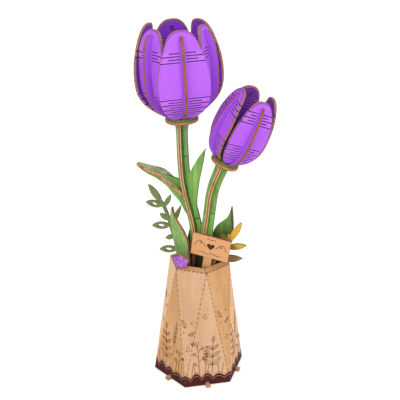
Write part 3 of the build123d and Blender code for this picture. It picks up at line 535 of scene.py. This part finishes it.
# Each kind of petal: height and half width in millimetres, its upper and lower kerf rows, and its outline.
# For each set of rows, the share of the height where it starts and how many rows it has
OUTER_PETAL = (83.4, 22.8, (0.69, 4), (0.30, 8), OUTER_OUTLINE)
INNER_PETAL = (83.2, 16.9, (0.69, 4), (0.30, 8), INNER_OUTLINE)
SMALL_PETAL = (69.0, 17.3, (0.70, 5), (0.36, 7), SMALL_OUTLINE)
DISC_THICKNESS = 2.5
SHORT_SLIT_SHARE = 0.68
RIM_BURN = 1.5
KERF_LIGHT = (226, 140, 255)
KERF_SHADE = (84, 22, 122)


def kerf_marks(foot, sideways, upward, size):
    """Burns a petal's rim, lightens it where its kerf rows are and paints the kerf lines dark purple, as
    painted shade in the slits.
    """
    height, half_width, upper, lower, outline = size

    def over_all(build, place, colour, edge):
        rise = build.math("SUBTRACT", build.along(place, foot, upward), 2 * DISC_THICKNESS * MM)
        side = build.math("ABSOLUTE", build.along(place, foot, sideways))
        wide = build.bend(build.math("DIVIDE", rise, height * MM), outline)
        short = build.math("MULTIPLY", wide, SHORT_SLIT_SHARE * half_width * MM)
        shifted = build.math("DIVIDE", build.math("ADD", rise, RIM_BURN * MM), height * MM)
        near_rim = build.math("MULTIPLY", build.bend(shifted, outline), half_width * MM)
        inset = build.math("SUBTRACT", side, near_rim)
        uneven = build.math("MULTIPLY_ADD", build.noise(place, RIM_WAVES), 0.9 * MM, inset)
        inside = build.math("SUBTRACT", 1.0, edge["Outward"])
        rim = build.math("MULTIPLY", inside, build.step(uneven, -0.9 * MM, -0.5 * MM))
        wood = build.mix(build.noise(place, RIM_GRAIN), paint(204, 152, 106), paint(150, 98, 62))
        colour = build.lay(rim, 0.92, colour, wood)
        thin = build.math("MULTIPLY", edge["Outward"], build.step(uneven, -0.1 * MM, 0.3 * MM))
        colour = build.lay(thin, 0.5, colour, paint(112, 56, 110))
        above = build.math("SUBTRACT", rise, upper[0] * height * MM)
        below = build.math("SUBTRACT", lower[0] * height * MM, rise)
        for way, rows in ((above, upper[1]), (below, lower[1])):
            kerf = build.use(GROUPS["kerf"], Rise=way, Side=side, Short_End=short, Rows=float(rows))
            on_face = build.math("SUBTRACT", 0.22, edge["Mask"], clamp=True)
            colour = build.lay(kerf["Zone"], on_face, colour, paint(*KERF_LIGHT))
            # Painted shade: the kerf slits are darkened to dark purple
            colour = build.lay(kerf["Line"], 0.86, colour, paint(*KERF_SHADE))
        return colour
    return over_all


def shaded_tab_end(outward):
    """The end of a rib's tab, seen inside the flower, is painted near black: painted shade inside the flower
    over its charred cut.
    """
    def over_all(build, place, colour, edge):
        toward = build.vector("DOT_PRODUCT", build.object_normal(), tuple(outward))
        inward = build.math("LESS_THAN", toward, -0.6)
        # Painted shade over the charred tab end, where it faces in towards the flower's axis
        return build.lay(inward, 0.85, colour, paint(66, 34, 40))
    return over_all


def dress_head(name, petals, sizes, inside, foot, lean, forward, spin):
    """Prints a flower's petals and ribs, round the head from its front petal."""
    for k, where in enumerate(petals):
        turn = head_turn(lean, forward, FIRST_PETAL + spin + 360 * k / len(petals))
        outward, sideways, upward = turn.col
        give(f"{name}_petal_{where}", printed_ply(
            f"{name}_petal_{where}_print", outward, upward, PURPLE, inside, reach=0.12, seed=0.3 * k,
            streak=0.2, shade=petal_shade(foot, upward),
            over_all=kerf_marks(foot, sideways, upward, sizes[k % len(sizes)])))
        give(f"{name}_rib_{where}", printed_ply(
            f"{name}_rib_{where}_print", sideways, upward, PURPLE_SIDE, seed=0.2 * k,
            cut=BROWN_CUT, char=0.45, over_all=shaded_tab_end(outward)))


def dress_discs(name, foot, lean, forward):
    """A tan lower disc whose underside and lower edge are painted dark brown as painted shade, and an upper
    disc printed green on its top.
    """
    axis = head_turn(lean, forward, 0).col[2]

    def shade_under_disc(build, place, colour, edge):
        # Painted shade: darker brown on the underside and the lower part of the disc's edge
        under = build.step(build.along(place, foot, axis), 0.5 * MM, 1.1 * MM, 0.75, 0)
        return build.mix(under, colour, paint(122, 68, 40))

    give(f"{name}_disc_lower", printed_ply(
        f"{name}_lower_disc_wood", axis, (1, 0, 0), (206, 148, 98), char=0.2,
        cut=((216, 152, 100), (190, 122, 76)), over_all=shade_under_disc))
    give(f"{name}_disc_upper", printed_ply(
        f"{name}_upper_disc_print", axis, (1, 0, 0), (104, 140, 62), char=0.3,
        cut=((120, 140, 70), (92, 84, 46))))


# The middle of each stem, as heights and places across in millimetres, and the span across that they use
BIG_LINE = (
    (90, -3.6), (150, -3.6), (156.7, -4.2), (178.2, -9.3), (204.3, -15.0), (229.3, -17.1), (249.6, -17.9),
    (270, -17.9))
SMALL_LINE = (
    (90, 7.0), (150, 7.0), (155.9, 7.6), (175, 9.85), (193.5, 12.3), (210.4, 17.5), (223.7, 23.3),
    (230, 26.0))
STEM_SPAN = 80
# Heights at which stem plates meet
BIG_ROOT_JOINT = 165
SMALL_ROOT_JOINT = 172
BIG_TOP_JOINT = 227
# The heights between which the stems darken into the vase, and how ragged that border is
SCORCH_LOW = 133
SCORCH_HIGH = 141
SCORCH_RAGGED = 8


def middle_of_stem(build, place, line):
    """The stem's middle, across, at this height."""
    height = build.split(place)[2]
    low, high = line[0][0], line[-1][0]
    share = build.math("DIVIDE", build.math("SUBTRACT", height, low * MM), (high - low) * MM)
    across = build.bend(share, [((z - low) / (high - low), x / STEM_SPAN + 0.5) for z, x in line])
    return build.math("MULTIPLY", build.math("SUBTRACT", across, 0.5), STEM_SPAN * MM)


def strip_ply(name, line, side_colour):
    """A strip seen on edge: a brown core between two pale plies, with green printed sides."""
    material, build, place = new_material(name)
    edge = build.use(GROUPS["edge"], Face_Axis=tuple(FRONT), Reach=0.7)
    grain = build.use(GROUPS["grain"], Vector=place, Along=tuple(UP), Fibres=STRIP_FIBRES, Seed=0.4)
    x = build.split(place)[0]
    ply = build.use(GROUPS["ply"], Off=build.math("SUBTRACT", x, middle_of_stem(build, place, line)))
    pale = build.mix(grain["Fibre"], paint(236, 196, 156), paint(205, 152, 106))
    core = build.mix(grain["Fibre"], paint(178, 104, 62), paint(140, 78, 44))
    end = build.mix(ply["Core"], pale, core)
    end = build.lay(ply["Glue Line"], 0.5, end, paint(112, 64, 38))
    patches = build.noise(place, STRIP_PATCHES, 4.0, 0.65)
    end = build.lay(build.step(patches, 0.52, 0.7), 0.45, end, paint(110, 66, 40))
    darker = [c * 0.72 for c in side_colour]
    side = build.mix(build.step(grain["Fibre"], 0.4, 0.7), paint(*side_colour), paint(*darker))
    colour = build.mix(edge["Mask"], end, side)
    colour = scorch_below(build, place, colour)
    rough = build.math("MULTIPLY_ADD", grain["Fibre"], 0.25, 0.45)
    finish_material(build, colour, rough, grain["Fibre"], 0.35)
    return material


def scorch_below(build, place, colour):
    """Stems are printed dark brown where they go down into the vase."""
    height = build.split(place)[2]
    uneven = build.math("MULTIPLY_ADD", build.noise(place, SCORCH_WAVES), SCORCH_RAGGED * MM, height)
    dark = build.step(uneven, SCORCH_LOW * MM, SCORCH_HIGH * MM, 0.88, 0.0)
    return build.mix(dark, colour, paint(66, 38, 28))


def stem_joints(*joints):
    """Dark lines where stem plates meet, each a height with its first and last place, and a dark foot."""
    def over_all(build, place, colour, edge):
        x, _, z = build.split(place)
        for height, first, last in joints:
            off = build.math("ABSOLUTE", build.math("SUBTRACT", z, height * MM))
            near = build.step(off, 0.3 * MM, 0.6 * MM, 1, 0)
            after = build.math("GREATER_THAN", x, first * MM)
            before = build.math("LESS_THAN", x, last * MM)
            line = build.math("MULTIPLY", near, build.math("MULTIPLY", after, before))
            colour = build.lay(line, 0.85, colour, paint(40, 50, 26))
        return scorch_below(build, place, colour)
    return over_all


def leaf_shade(low, high, base):
    """Brushed darker towards the leaf's base, between two heights."""
    def shade(build, place, face, grain):
        height = build.split(place)[2]
        brushed = build.math("MULTIPLY_ADD", build.math("SUBTRACT", grain["Streak"], 0.5), 30 * MM, height)
        return build.mix(build.step(brushed, low * MM, high * MM, 0.85, 0.0), face, paint(*base))
    return shade


# The right leaf's edge, as its place across at a height and its lean, and the heights where its darkening
# begins
BORDER_X = 31.3
BORDER_HEIGHT = 154
BORDER_LEAN = -0.07
BORDER_CHAR_AND_SHADE_LOW = 134
BORDER_CHAR_AND_SHADE_HIGH = 142


def dark_right_border(build, place, colour, edge):
    """The right leaf is darkened along its upright right edge, which leans in a little as it rises: its burnt
    edge, widened with painted shade.
    """
    x, _, z = build.split(place)
    above = build.math("SUBTRACT", z, BORDER_HEIGHT * MM)
    border = build.math("MULTIPLY_ADD", above, BORDER_LEAN, BORDER_X * MM)
    inset = build.math("SUBTRACT", border, x)
    high = build.step(z, BORDER_CHAR_AND_SHADE_LOW * MM, BORDER_CHAR_AND_SHADE_HIGH * MM)
    near = build.math("MULTIPLY", high, build.step(inset, 1.3 * MM, 2.0 * MM, 0.8, 0))
    # Burnt edge and painted shade: a dark band along the leaf's right edge
    return build.mix(near, colour, paint(56, 66, 44))


def ochre_shade(build, place, face, grain):
    """The right twig turns from olive brown at its foot to yellow outwards and at its tip."""
    x, _, z = build.split(place)
    outward = build.math("MULTIPLY_ADD", build.math("SUBTRACT", x, 36 * MM), 1.4, z)
    blots = build.noise(place, BLOTS)
    spread = build.math("MULTIPLY_ADD", build.math("SUBTRACT", blots, 0.5), 16 * MM, outward)
    ripe = build.step(spread, 139 * MM, 155 * MM)
    brown = build.mix(build.step(blots, 0.42, 0.6), paint(118, 96, 50), paint(152, 112, 64))
    return build.mix(ripe, brown, paint(216, 172, 58))


def facing(degrees):
    """A level direction, as an angle from +X."""
    return Vector((math.cos(math.radians(degrees)), math.sin(math.radians(degrees)), 0))


def vase_wood():
    """Printed veneer: warm wood with painted light that makes the front facets paler and pinker and the
    right-hand facets lighter, dashed folds and a dark foot band.
    """
    material, build, place = new_material("vase_printed_veneer")
    grain = build.use(GROUPS["grain"], Vector=place, Along=tuple(UP), Fibres=VENEER_FIBRES, Seed=0.7)
    fold = build.use(GROUPS["folds"], Vector=place)
    turned = build.object_normal()
    # Painted light: the facets facing the front are painted paler and pinker
    lit_front_facets = build.step(build.vector("DOT_PRODUCT", turned, tuple(facing(-78))), 0.74, 0.94)
    light = build.mix(lit_front_facets, paint(223, 171, 117), paint(222, 179, 140))
    dark = build.mix(lit_front_facets, paint(211, 157, 103), paint(212, 166, 126))
    wood = build.mix(build.step(grain["Streak"], 0.35, 0.65), light, dark)
    # Painted light: the facets facing right, and those opposite them, are painted lighter
    across = build.math("ABSOLUTE", build.vector("DOT_PRODUCT", turned, tuple(facing(15))))
    wood = build.mix(build.step(across, 0.8, 0.92), wood, paint(246, 194, 142))
    wood = build.lay(build.step(grain["Fibre"], 0.5, 0.72), 0.22, wood, paint(176, 122, 78))
    speck = build.step(build.noise(place, SPECKS, 2.0, 0.7), 0.58, 0.72, 0.0, 0.3)
    wood = build.mix(speck, wood, paint(150, 98, 62))
    cloud = build.noise(place, CLOUDS, 2.0, 0.5)
    wood = build.mix(build.step(cloud, 0.5, 0.75, 0.0, 0.35), wood, paint(234, 186, 146))
    band = build.mix(build.noise(place, BAND_MOTTLE), paint(88, 42, 42), paint(66, 28, 30))
    colour = build.mix(fold["Band"], wood, band)
    colour = build.lay(fold["Rim Line"], 0.8, colour, paint(104, 60, 48))
    colour = build.lay(fold["Arcs"], 0.65, colour, paint(202, 150, 118))
    colour = build.lay(fold["Dashes"], 0.7, colour, paint(108, 62, 38))
    rough = build.math("MULTIPLY_ADD", grain["Fibre"], 0.2, 0.42)
    dent = build.math("SUBTRACT", grain["Fibre"], build.math("MULTIPLY", fold["Dashes"], 2.0))
    gloss = build.math("MULTIPLY_ADD", fold["Band"], -0.2, 0.25)
    finish_material(build, colour, rough, dent, 0.3, gloss)
    return material


def bare_wood(name, face_axis, light, dark, along=(1, 0, 0), cut=TAN_CUT):
    """Bare basswood ply, with its fibres showing and burnt edges."""
    material, build, place = new_material(name)
    edge = build.use(GROUPS["edge"], Face_Axis=tuple(face_axis), Reach=0.5)
    grain = build.use(GROUPS["grain"], Vector=place, Along=tuple(along), Fibres=WOOD_FIBRES, Seed=0.0)
    face = build.mix(grain["Streak"], paint(*light), paint(*dark))
    pore = [c * 0.86 for c in dark]
    face = build.mix(build.step(grain["Fibre"], 0.55, 0.75, 0.0, 0.3), face, paint(*pore))
    burn = burnt_cut(build, place, cut, 0.7)
    colour = build.mix(edge["Mask"], face, burn["Colour"])
    rough = build.math("MULTIPLY_ADD", grain["Fibre"], 0.2, 0.5)
    finish_material(build, colour, rough, grain["Fibre"], 0.35)
    return material


def lilac_shade(build, place, face, grain):
    """Mottled lilac and mauve, as sponged on."""
    blots = build.noise(place, BLOTS)
    return build.mix(build.step(blots, 0.42, 0.62), paint(150, 84, 190), paint(200, 126, 216))


def burnt_line_wood():
    """The dark brown of an engraved line."""
    material, build, place = new_material("engraved_burnt_line")
    soot = build.noise(place, SOOT)
    colour = build.mix(soot, paint(106, 56, 28), paint(76, 36, 18))
    finish_material(build, colour, build.math("MULTIPLY_ADD", soot, 0.2, 0.6), soot, 0.3, 0.08)
    return material


# The arched leaf's blade, in millimetres: its tip, how far it runs across, its half width, the tan margin
# on its front edge and its kerf rows
BLADE_TIP_X = -65.4
BLADE_RUN = 50.4
BLADE_HALF_WIDTH = 8.0
BLADE_MARGIN = 1.3
BLADE_KERF_FIRST_X = -47.4
BLADE_KERF_LAST_X = -39.2
BLADE_KERF_PITCH = 2.05
# Its outline from the tip, as shares of its run and of its half width
BLADE_OUTLINE = ((0, 0.06), (0.12, 0.42), (0.35, 0.85), (0.6, 1), (0.85, 0.9), (1, 0.72))


def blade_print():
    """The arched leaf's blade: grey green above and below, with a tan cut edge towards the front."""
    material, build, place = new_material("arched_blade_print")
    edge = build.use(GROUPS["edge"], Face_Axis=tuple(FRONT), Reach=0.55)
    grain = build.use(GROUPS["grain"], Vector=place, Along=(-0.8, 0, 0.5), Fibres=PRINT_FIBRES, Seed=0.2)
    face = build.mix(build.step(grain["Fibre"], 0.4, 0.7), paint(176, 194, 140), paint(128, 152, 92))
    burn = burnt_cut(build, place, TAN_CUT, 0.7)
    x, y, _ = build.split(place)
    run = build.math("DIVIDE", build.math("SUBTRACT", x, BLADE_TIP_X * MM), BLADE_RUN * MM)
    half = build.math("MULTIPLY", build.bend(run, BLADE_OUTLINE), BLADE_HALF_WIDTH * MM)
    margin = build.math("LESS_THAN", build.math("ADD", half, y), BLADE_MARGIN * MM)
    tan = build.math("MAXIMUM", build.math("SUBTRACT", 1.0, edge["Mask"]), margin)
    turns = build.math("DIVIDE", build.math("SUBTRACT", x, BLADE_KERF_FIRST_X * MM), BLADE_KERF_PITCH * MM)
    beat = build.math("ABSOLUTE", build.math("SUBTRACT", build.math("FRACT", turns), 0.5))
    begun = build.math("GREATER_THAN", x, (BLADE_KERF_FIRST_X - 1) * MM)
    left = build.math("LESS_THAN", x, (BLADE_KERF_LAST_X + 1) * MM)
    shaded_kerf_lines = build.math("MULTIPLY", build.math("MULTIPLY", begun, left), build.step(beat, 0.3, 0.4))
    # The kerf cuts, drawn as dark green lines: painted shade in the cuts
    face = build.lay(shaded_kerf_lines, 0.8, face, paint(52, 70, 40))
    colour = build.mix(tan, face, burn["Colour"])
    rough = build.math("MULTIPLY_ADD", grain["Fibre"], 0.25, 0.45)
    finish_material(build, colour, rough, grain["Fibre"], 0.3)
    return material


def brushed(name, axis, colour, **rest):
    """Green print brushed along the grain, with fine darker strokes."""
    return printed_ply(
        name, axis, UP, colour, streak=1.0, deepen=(138, 158, 116), fibres=BRUSH_FIBRES, **rest)


def dress_nodes():
    """Gives every node of the frame its material."""
    dress_head(
        "big", BIG_PETALS, (OUTER_PETAL, INNER_PETAL), BIG_INSIDE_SHADED, BIG_HEAD, BIG_LEAN, BIG_FORWARD, BIG_SPIN)
    dress_head(
        "small", SMALL_PETALS, (SMALL_PETAL,), SMALL_INSIDE_SHADED, SMALL_HEAD, SMALL_LEAN, 0, SMALL_SPIN)
    dress_discs("big", BIG_HEAD, BIG_LEAN, BIG_FORWARD)
    dress_discs("small", SMALL_HEAD, SMALL_LEAN, 0)
    give("big_stem_middle", brushed(
        "big_stem_green_print", FRONT, (132, 178, 86), cut=OLIVE_CUT,
        over_all=stem_joints((BIG_ROOT_JOINT, -8, 6), (BIG_TOP_JOINT, -26, -9))))
    give("small_stem_top", brushed(
        "small_stem_green_print", FRONT, (144, 184, 92), cut=OLIVE_CUT,
        over_all=stem_joints((SMALL_ROOT_JOINT, 0, 20))))
    give("big_stem_top", brushed(
        "stem_top_blue_green_print", FRONT, (140, 184, 118), cut=OLIVE_CUT,
        over_all=stem_joints((BIG_TOP_JOINT, -26, -9))))
    give("root_plate", brushed(
        "stem_root_teal_print", FRONT, (152, 208, 98), cut=OLIVE_CUT,
        over_all=stem_joints((BIG_ROOT_JOINT, -12, 1), (SMALL_ROOT_JOINT, 2, 16))))
    big_strip = strip_ply("big_strip_edge_plies", BIG_LINE, (78, 122, 48))
    small_strip = strip_ply("small_strip_edge_plies", SMALL_LINE, (92, 138, 54))
    for node in nodes:
        if "_strip_" in node:
            give(node, big_strip if node.startswith("big") else small_strip)
    give("leaf_front", brushed(
        "front_leaf_print", facing(-118), (144, 186, 98), reach=0.12, cut=BROWN_CUT,
        shade=leaf_shade(118, 150, (96, 138, 60))))
    give("leaf_right", brushed(
        "right_leaf_print", facing(-92), (126, 172, 86), reach=0.12, cut=OLIVE_CUT,
        shade=leaf_shade(143, 160, (78, 92, 42)), over_all=dark_right_border))
    # The back leaf is painted dark green: painted shade, as it stands behind the other leaves
    give("leaf_back", brushed("back_leaf_shaded_print", facing(110), (66, 92, 56), reach=0.12))
    give("leaf_arched_blade", blade_print())
    give("twig_left", printed_ply("olive_twig_print", FRONT, UP, (116, 134, 72), cut=OLIVE_CUT))
    give("twig_right", printed_ply(
        "ochre_twig_print", FRONT, UP, (176, 150, 62), cut=OLIVE_CUT, shade=ochre_shade))
    give("rim_blossom", printed_ply(
        "lilac_blossom_print", (0, -0.97, -0.24), UP, (172, 98, 208), shade=lilac_shade,
        cut=BROWN_CUT))
    give("vase_skin", vase_wood())
    give("sign_board", bare_wood(
        "sign_board_wood", FRONT, (232, 172, 118), (220, 158, 106), cut=BROWN_CUT))
    give("sign_stake", bare_wood("sign_stake_wood", FRONT, (232, 178, 128), (216, 158, 108), UP))
    for node in ("base_plate", "stem_deck", "inner_web_left", "inner_web_right"):
        give(node, bare_wood(f"{node}_wood", UP, (224, 178, 134), (206, 156, 110)))


def facet_frame(k, upright=True):
    """Stands a drawing on one of the vase's triangles: across it, up its slope, and outwards."""
    def foot(turns):
        return VASE_FOOT_RADIUS * MM * facing(-90 + 60 * turns) + VASE_FOOT_HEIGHT * MM * UP

    def top(turns):
        return VASE_RIM_RADIUS * MM * facing(-60 + 60 * turns) + VASE_RIM_HEIGHT * MM * UP

    if upright:
        left, right = foot(k), foot(k + 1)
        middle = (left + right) / 2
        up = (top(k) - middle).normalized()
    else:
        left, right = top(k - 1), top(k)
        middle = foot(k)
        up = ((left + right) / 2 - middle).normalized()
    across = (right - left).normalized()
    turn = Matrix((across, up, across.cross(up))).transposed().to_4x4()
    return Matrix.Translation(middle) @ turn


# An engraved line's radius, how deep its middle lies as a share of that, and the height where drawings start
LINE_RADIUS = 0.33
LINE_SUNK = 0.55
DRAWING_FOOT = 12


def draw_lines(name, lines, stand, radius):
    """Fine engraved lines. Each line is a list of points in millimetres, and whether it closes on itself."""
    bpy.ops.object.select_all(action="DESELECT")
    bpy.ops.curve.primitive_nurbs_path_add(location=(0, 0, 0))
    drawn = bpy.context.object
    drawn.name = name
    drawn.data.splines.clear()
    for points, closed in lines:
        spline = drawn.data.splines.new("NURBS")
        spline.points.add(len(points) - 1)
        for point, (x, y) in zip(spline.points, points):
            point.co = (x * MM, y * MM, -radius * LINE_SUNK * MM, 1)
        spline.order_u = 3
        spline.use_cyclic_u = closed
        spline.use_endpoint_u = not closed
        spline.resolution_u = 5
    drawn.data.bevel_depth = radius * MM
    drawn.data.bevel_resolution = 1
    bpy.ops.object.convert(target="MESH")
    drawn = bpy.context.object
    drawn.data.transform(stand)
    return drawn


def leaf_outline(x, y, angle, length, width):
    """A closed pointed leaf that grows from a point at an angle."""
    turn = math.radians(angle)
    ax, ay = math.cos(turn), math.sin(turn)
    shape = ((0, 0), (0, 0), (0.3, 0.5), (0.65, 0.45), (1, 0), (1, 0), (0.65, -0.45), (0.3, -0.5))
    return [(x + ax * a * length - ay * b * width, y + ay * a * length + ax * b * width) for a, b in shape]


def ring(x, y, radius, count=8):
    """The points of a small circle."""
    turns = [2 * math.pi * k / count for k in range(count)]
    return [(x + radius * math.cos(turn), y + radius * math.sin(turn)) for turn in turns]


def veined_leaf(x, y, angle, length, width):
    """A leaf outline with a vein most of the way along it."""
    turn = math.radians(angle)
    end = (x + 0.8 * length * math.cos(turn), y + 0.8 * length * math.sin(turn))
    return [(leaf_outline(x, y, angle, length, width), True), ([(x, y), end], False)]


def bent_stalk(x, lean, height, across, up):
    """A stalk's foot, the bend at a share of its lean and height, and its tip."""
    bend = (x + lean * across, DRAWING_FOOT + height * up)
    return [(x, DRAWING_FOOT), bend, (x + lean, DRAWING_FOOT + height)]


def fern_sprig(x, lean, height, pairs, size=12.0):
    """A curved stalk with pairs of veined leaves that grow smaller upwards."""
    shares = (0, 0.35, 0.7, 1)
    stalk = [(x + lean * share ** 1.6, DRAWING_FOOT + height * share) for share in shares]
    lines = [(stalk, False)]
    for k in range(pairs):
        share = (k + 1.1) / (pairs + 1)
        px = x + lean * share ** 1.6
        py = DRAWING_FOOT + height * share
        length = size * (1 - 0.55 * share)
        lines += veined_leaf(px, py, 40, length, length * 0.4)
        lines += veined_leaf(px, py, 144, length, length * 0.4)
    return lines + veined_leaf(x + lean, DRAWING_FOOT + height, 84, size * 0.55, size * 0.22)


def berry_sprig(x, lean, height, berries):
    """A thin stalk with ringed berries on short stems."""
    lines = [(bent_stalk(x, lean, height, 0.3, 0.5), False)]
    for k in range(berries):
        share = (k + 1.5) / (berries + 1)
        side = 1 if k % 2 else -1
        px = x + lean * share ** 1.4
        py = DRAWING_FOOT + height * share
        end = (px + side * 3.4, py + 3.0)
        lines.append(([(px, py), (px + side * 1.2, py + 2.2), end], False))
        berry = (end[0] + side * 1.1, end[1] + 1.1)
        lines += [(ring(*berry, 1.6), True), (ring(*berry, 0.5, 5), True)]
    return lines + [(ring(x + lean, DRAWING_FOOT + height + 1.7, 1.7), True)]


def wheat_ear(x, lean, height, grains):
    """A bent stalk with an ear of pointed grains at its end."""
    lines = [(bent_stalk(x, lean, height, 0.2, 0.6), False)]
    for k in range(grains):
        py = DRAWING_FOOT + height * (0.6 + 0.4 * k / grains)
        px = x + lean * (0.2 + 0.8 * k / grains)
        lines.append((leaf_outline(px, py, 60, 4.4, 1.9), True))
        lines.append((leaf_outline(px, py, 122, 4.4, 1.9), True))
    return lines + [(leaf_outline(x + lean, DRAWING_FOOT + height, 88, 4.8, 1.9), True)]


def grass(xs):
    """Short bent blades along the top of the dark band."""
    return [([(x, 11.0), (x + bend * 0.3, 16.5), (x + bend, 21 + abs(bend))], False) for x, bend in xs]


def curl(x, y, size, side):
    """A tendril that rolls up at its end."""
    turns = []
    for k in range(9, 0, -1):
        reach = size * 0.11 * k
        turns.append((x + side * reach * math.cos(0.9 * k), y + reach * math.sin(0.9 * k)))
    return (turns, False)


def drifting_leaves(y):
    """Two loose leaves, two dots and a curl, for a triangle that hangs from the rim."""
    lines = veined_leaf(-2.5, y, 118, 9.0, 3.8) + veined_leaf(1.0, y - 7, 36, 7.0, 3.0)
    dots = [(ring(3.4, y + 6, 0.7, 5), True), (ring(-4.2, y - 5, 0.6, 5), True)]
    return lines + dots + [curl(0.5, y - 22, 3.4, 1)]


def engrave(name, lines, stand, material, radius=LINE_RADIUS):
    """Adds a drawing as a piece of its own, in the slot of the wood that it is burnt into."""
    piece = draw_lines(name, lines, stand, radius)
    piece.data.materials.append(material)
    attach(piece, "root")


def engrave_vase(material):
    """Sprigs and grass on the triangles that stand on the foot, and loose leaves on the hanging ones."""
    for k in range(6):
        if k % 2:
            lines = fern_sprig(-6, -3, 40, 4) + wheat_ear(3, 3, 48, 4) + berry_sprig(12, 1, 20, 3)
            lines += grass(((-16, -2), (-12, 1.5), (0, -1.5), (8, 2), (17, -1)))
        else:
            lines = berry_sprig(-8, -2, 33, 5) + fern_sprig(5, 1, 34, 3, 13.0) + wheat_ear(-2, 1, 26, 3)
            lines += grass(((-16, 1.5), (-12, -2), (0, 1.5), (12, -2), (15, 1.5))) + [curl(-1, 74, 3.4, -1)]
        engrave(f"vase_engraving_{k + 1}", lines, facet_frame(k), material)
        engrave(
            f"vase_drifting_leaves_{k + 1}", drifting_leaves(62 + 9 * (k % 3)), facet_frame(k, False),
            material)


# The sign's lean in degrees, its stake's foot, and the middle of its face measured from that foot
SIGN_LEAN = 7.7
STAKE_FOOT = Vector((6.6, -12.0, 90.0)) * MM
SIGN_MIDDLE = Vector((1.8, -3.4, 53.8)) * MM
SIGN_LINE_RADIUS = 0.38
HEART_SIZE = 3.8
HEART_THICKNESS = 0.2
HEART_PLACE = Vector((0, 0.8, -0.05)) * MM
CURL_STROKE = (
    (4.8, -0.6), (7.4, 2.6), (9.8, 4.4), (11.4, 3.0), (10.0, 1.2), (8.6, 2.6), (10.6, 5.8), (14.4, 2.6),
    (16.0, -1.2))


def sign_frame():
    """Stands a drawing on the middle of the sign board's face."""
    lean = Matrix.Rotation(math.radians(SIGN_LEAN), 4, "Y")
    foot = Matrix.Translation(STAKE_FOOT)
    face = Matrix.Translation(SIGN_MIDDLE)
    return foot @ lean @ face @ Matrix.Rotation(math.radians(90), 4, "X")


def engrave_sign(material):
    """A small solid heart with a curl on each side, between a short and a long wavy line."""
    wave = [(-11.0 + 22 * k / 8, -7.0 + 0.9 * math.sin(k * 1.6)) for k in range(9)]
    crest = [(-4.5 + 9 * k / 6, 8.0 + 0.8 * math.sin(k * 1.7)) for k in range(7)]
    lines = [(wave, False), (crest, False)]
    for side in (-1, 1):
        lines.append(([(side * x, y) for x, y in CURL_STROKE], False))
    engrave("sign_engraving", lines, sign_frame(), material, SIGN_LINE_RADIUS)
    heart = make_heart("sign_heart", HEART_SIZE, sign_frame() @ Matrix.Translation(HEART_PLACE))
    heart.data.materials.append(material)
    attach(heart, "root")


def make_heart(name, size, stand):
    """A thin heart: a disc whose rim points are moved onto a heart's outline, then thickened."""
    bpy.ops.object.select_all(action="DESELECT")
    bpy.ops.mesh.primitive_circle_add(vertices=32, radius=size * MM, fill_type="NGON", location=(0, 0, 0))
    heart = bpy.context.object
    heart.name = name
    for corner in heart.data.vertices:
        t = math.atan2(corner.co.x, corner.co.y)
        x = 16 * math.sin(t) ** 3
        y = 13 * math.cos(t) - 5 * math.cos(2 * t) - 2 * math.cos(3 * t) - math.cos(4 * t)
        corner.co = (x * size * MM / 16, y * size * MM / 16, 0)
    thick = heart.modifiers.new("thickness", "SOLIDIFY")
    thick.thickness = HEART_THICKNESS * MM
    thick.offset = 0
    bpy.ops.object.modifier_apply(modifier="thickness")
    bpy.ops.object.mode_set(mode="EDIT")
    bpy.ops.mesh.select_all(action="SELECT")
    bpy.ops.mesh.normals_make_consistent(inside=False)
    bpy.ops.object.mode_set(mode="OBJECT")
    heart.data.transform(stand)
    return heart


dress_nodes()
burnt_line = burnt_line_wood()
engrave_vase(burnt_line)
engrave_sign(burnt_line)

bpy.context.scene.view_settings.view_transform = "Standard"
make_camera()
make_world()
make_floor()
make_lamp("key_lamp", (-0.45, -1.45, 1.35), size=1.1, power=9)
make_lamp("fill_lamp", (1.25, -1.1, 0.75), size=1.2, power=8.5)
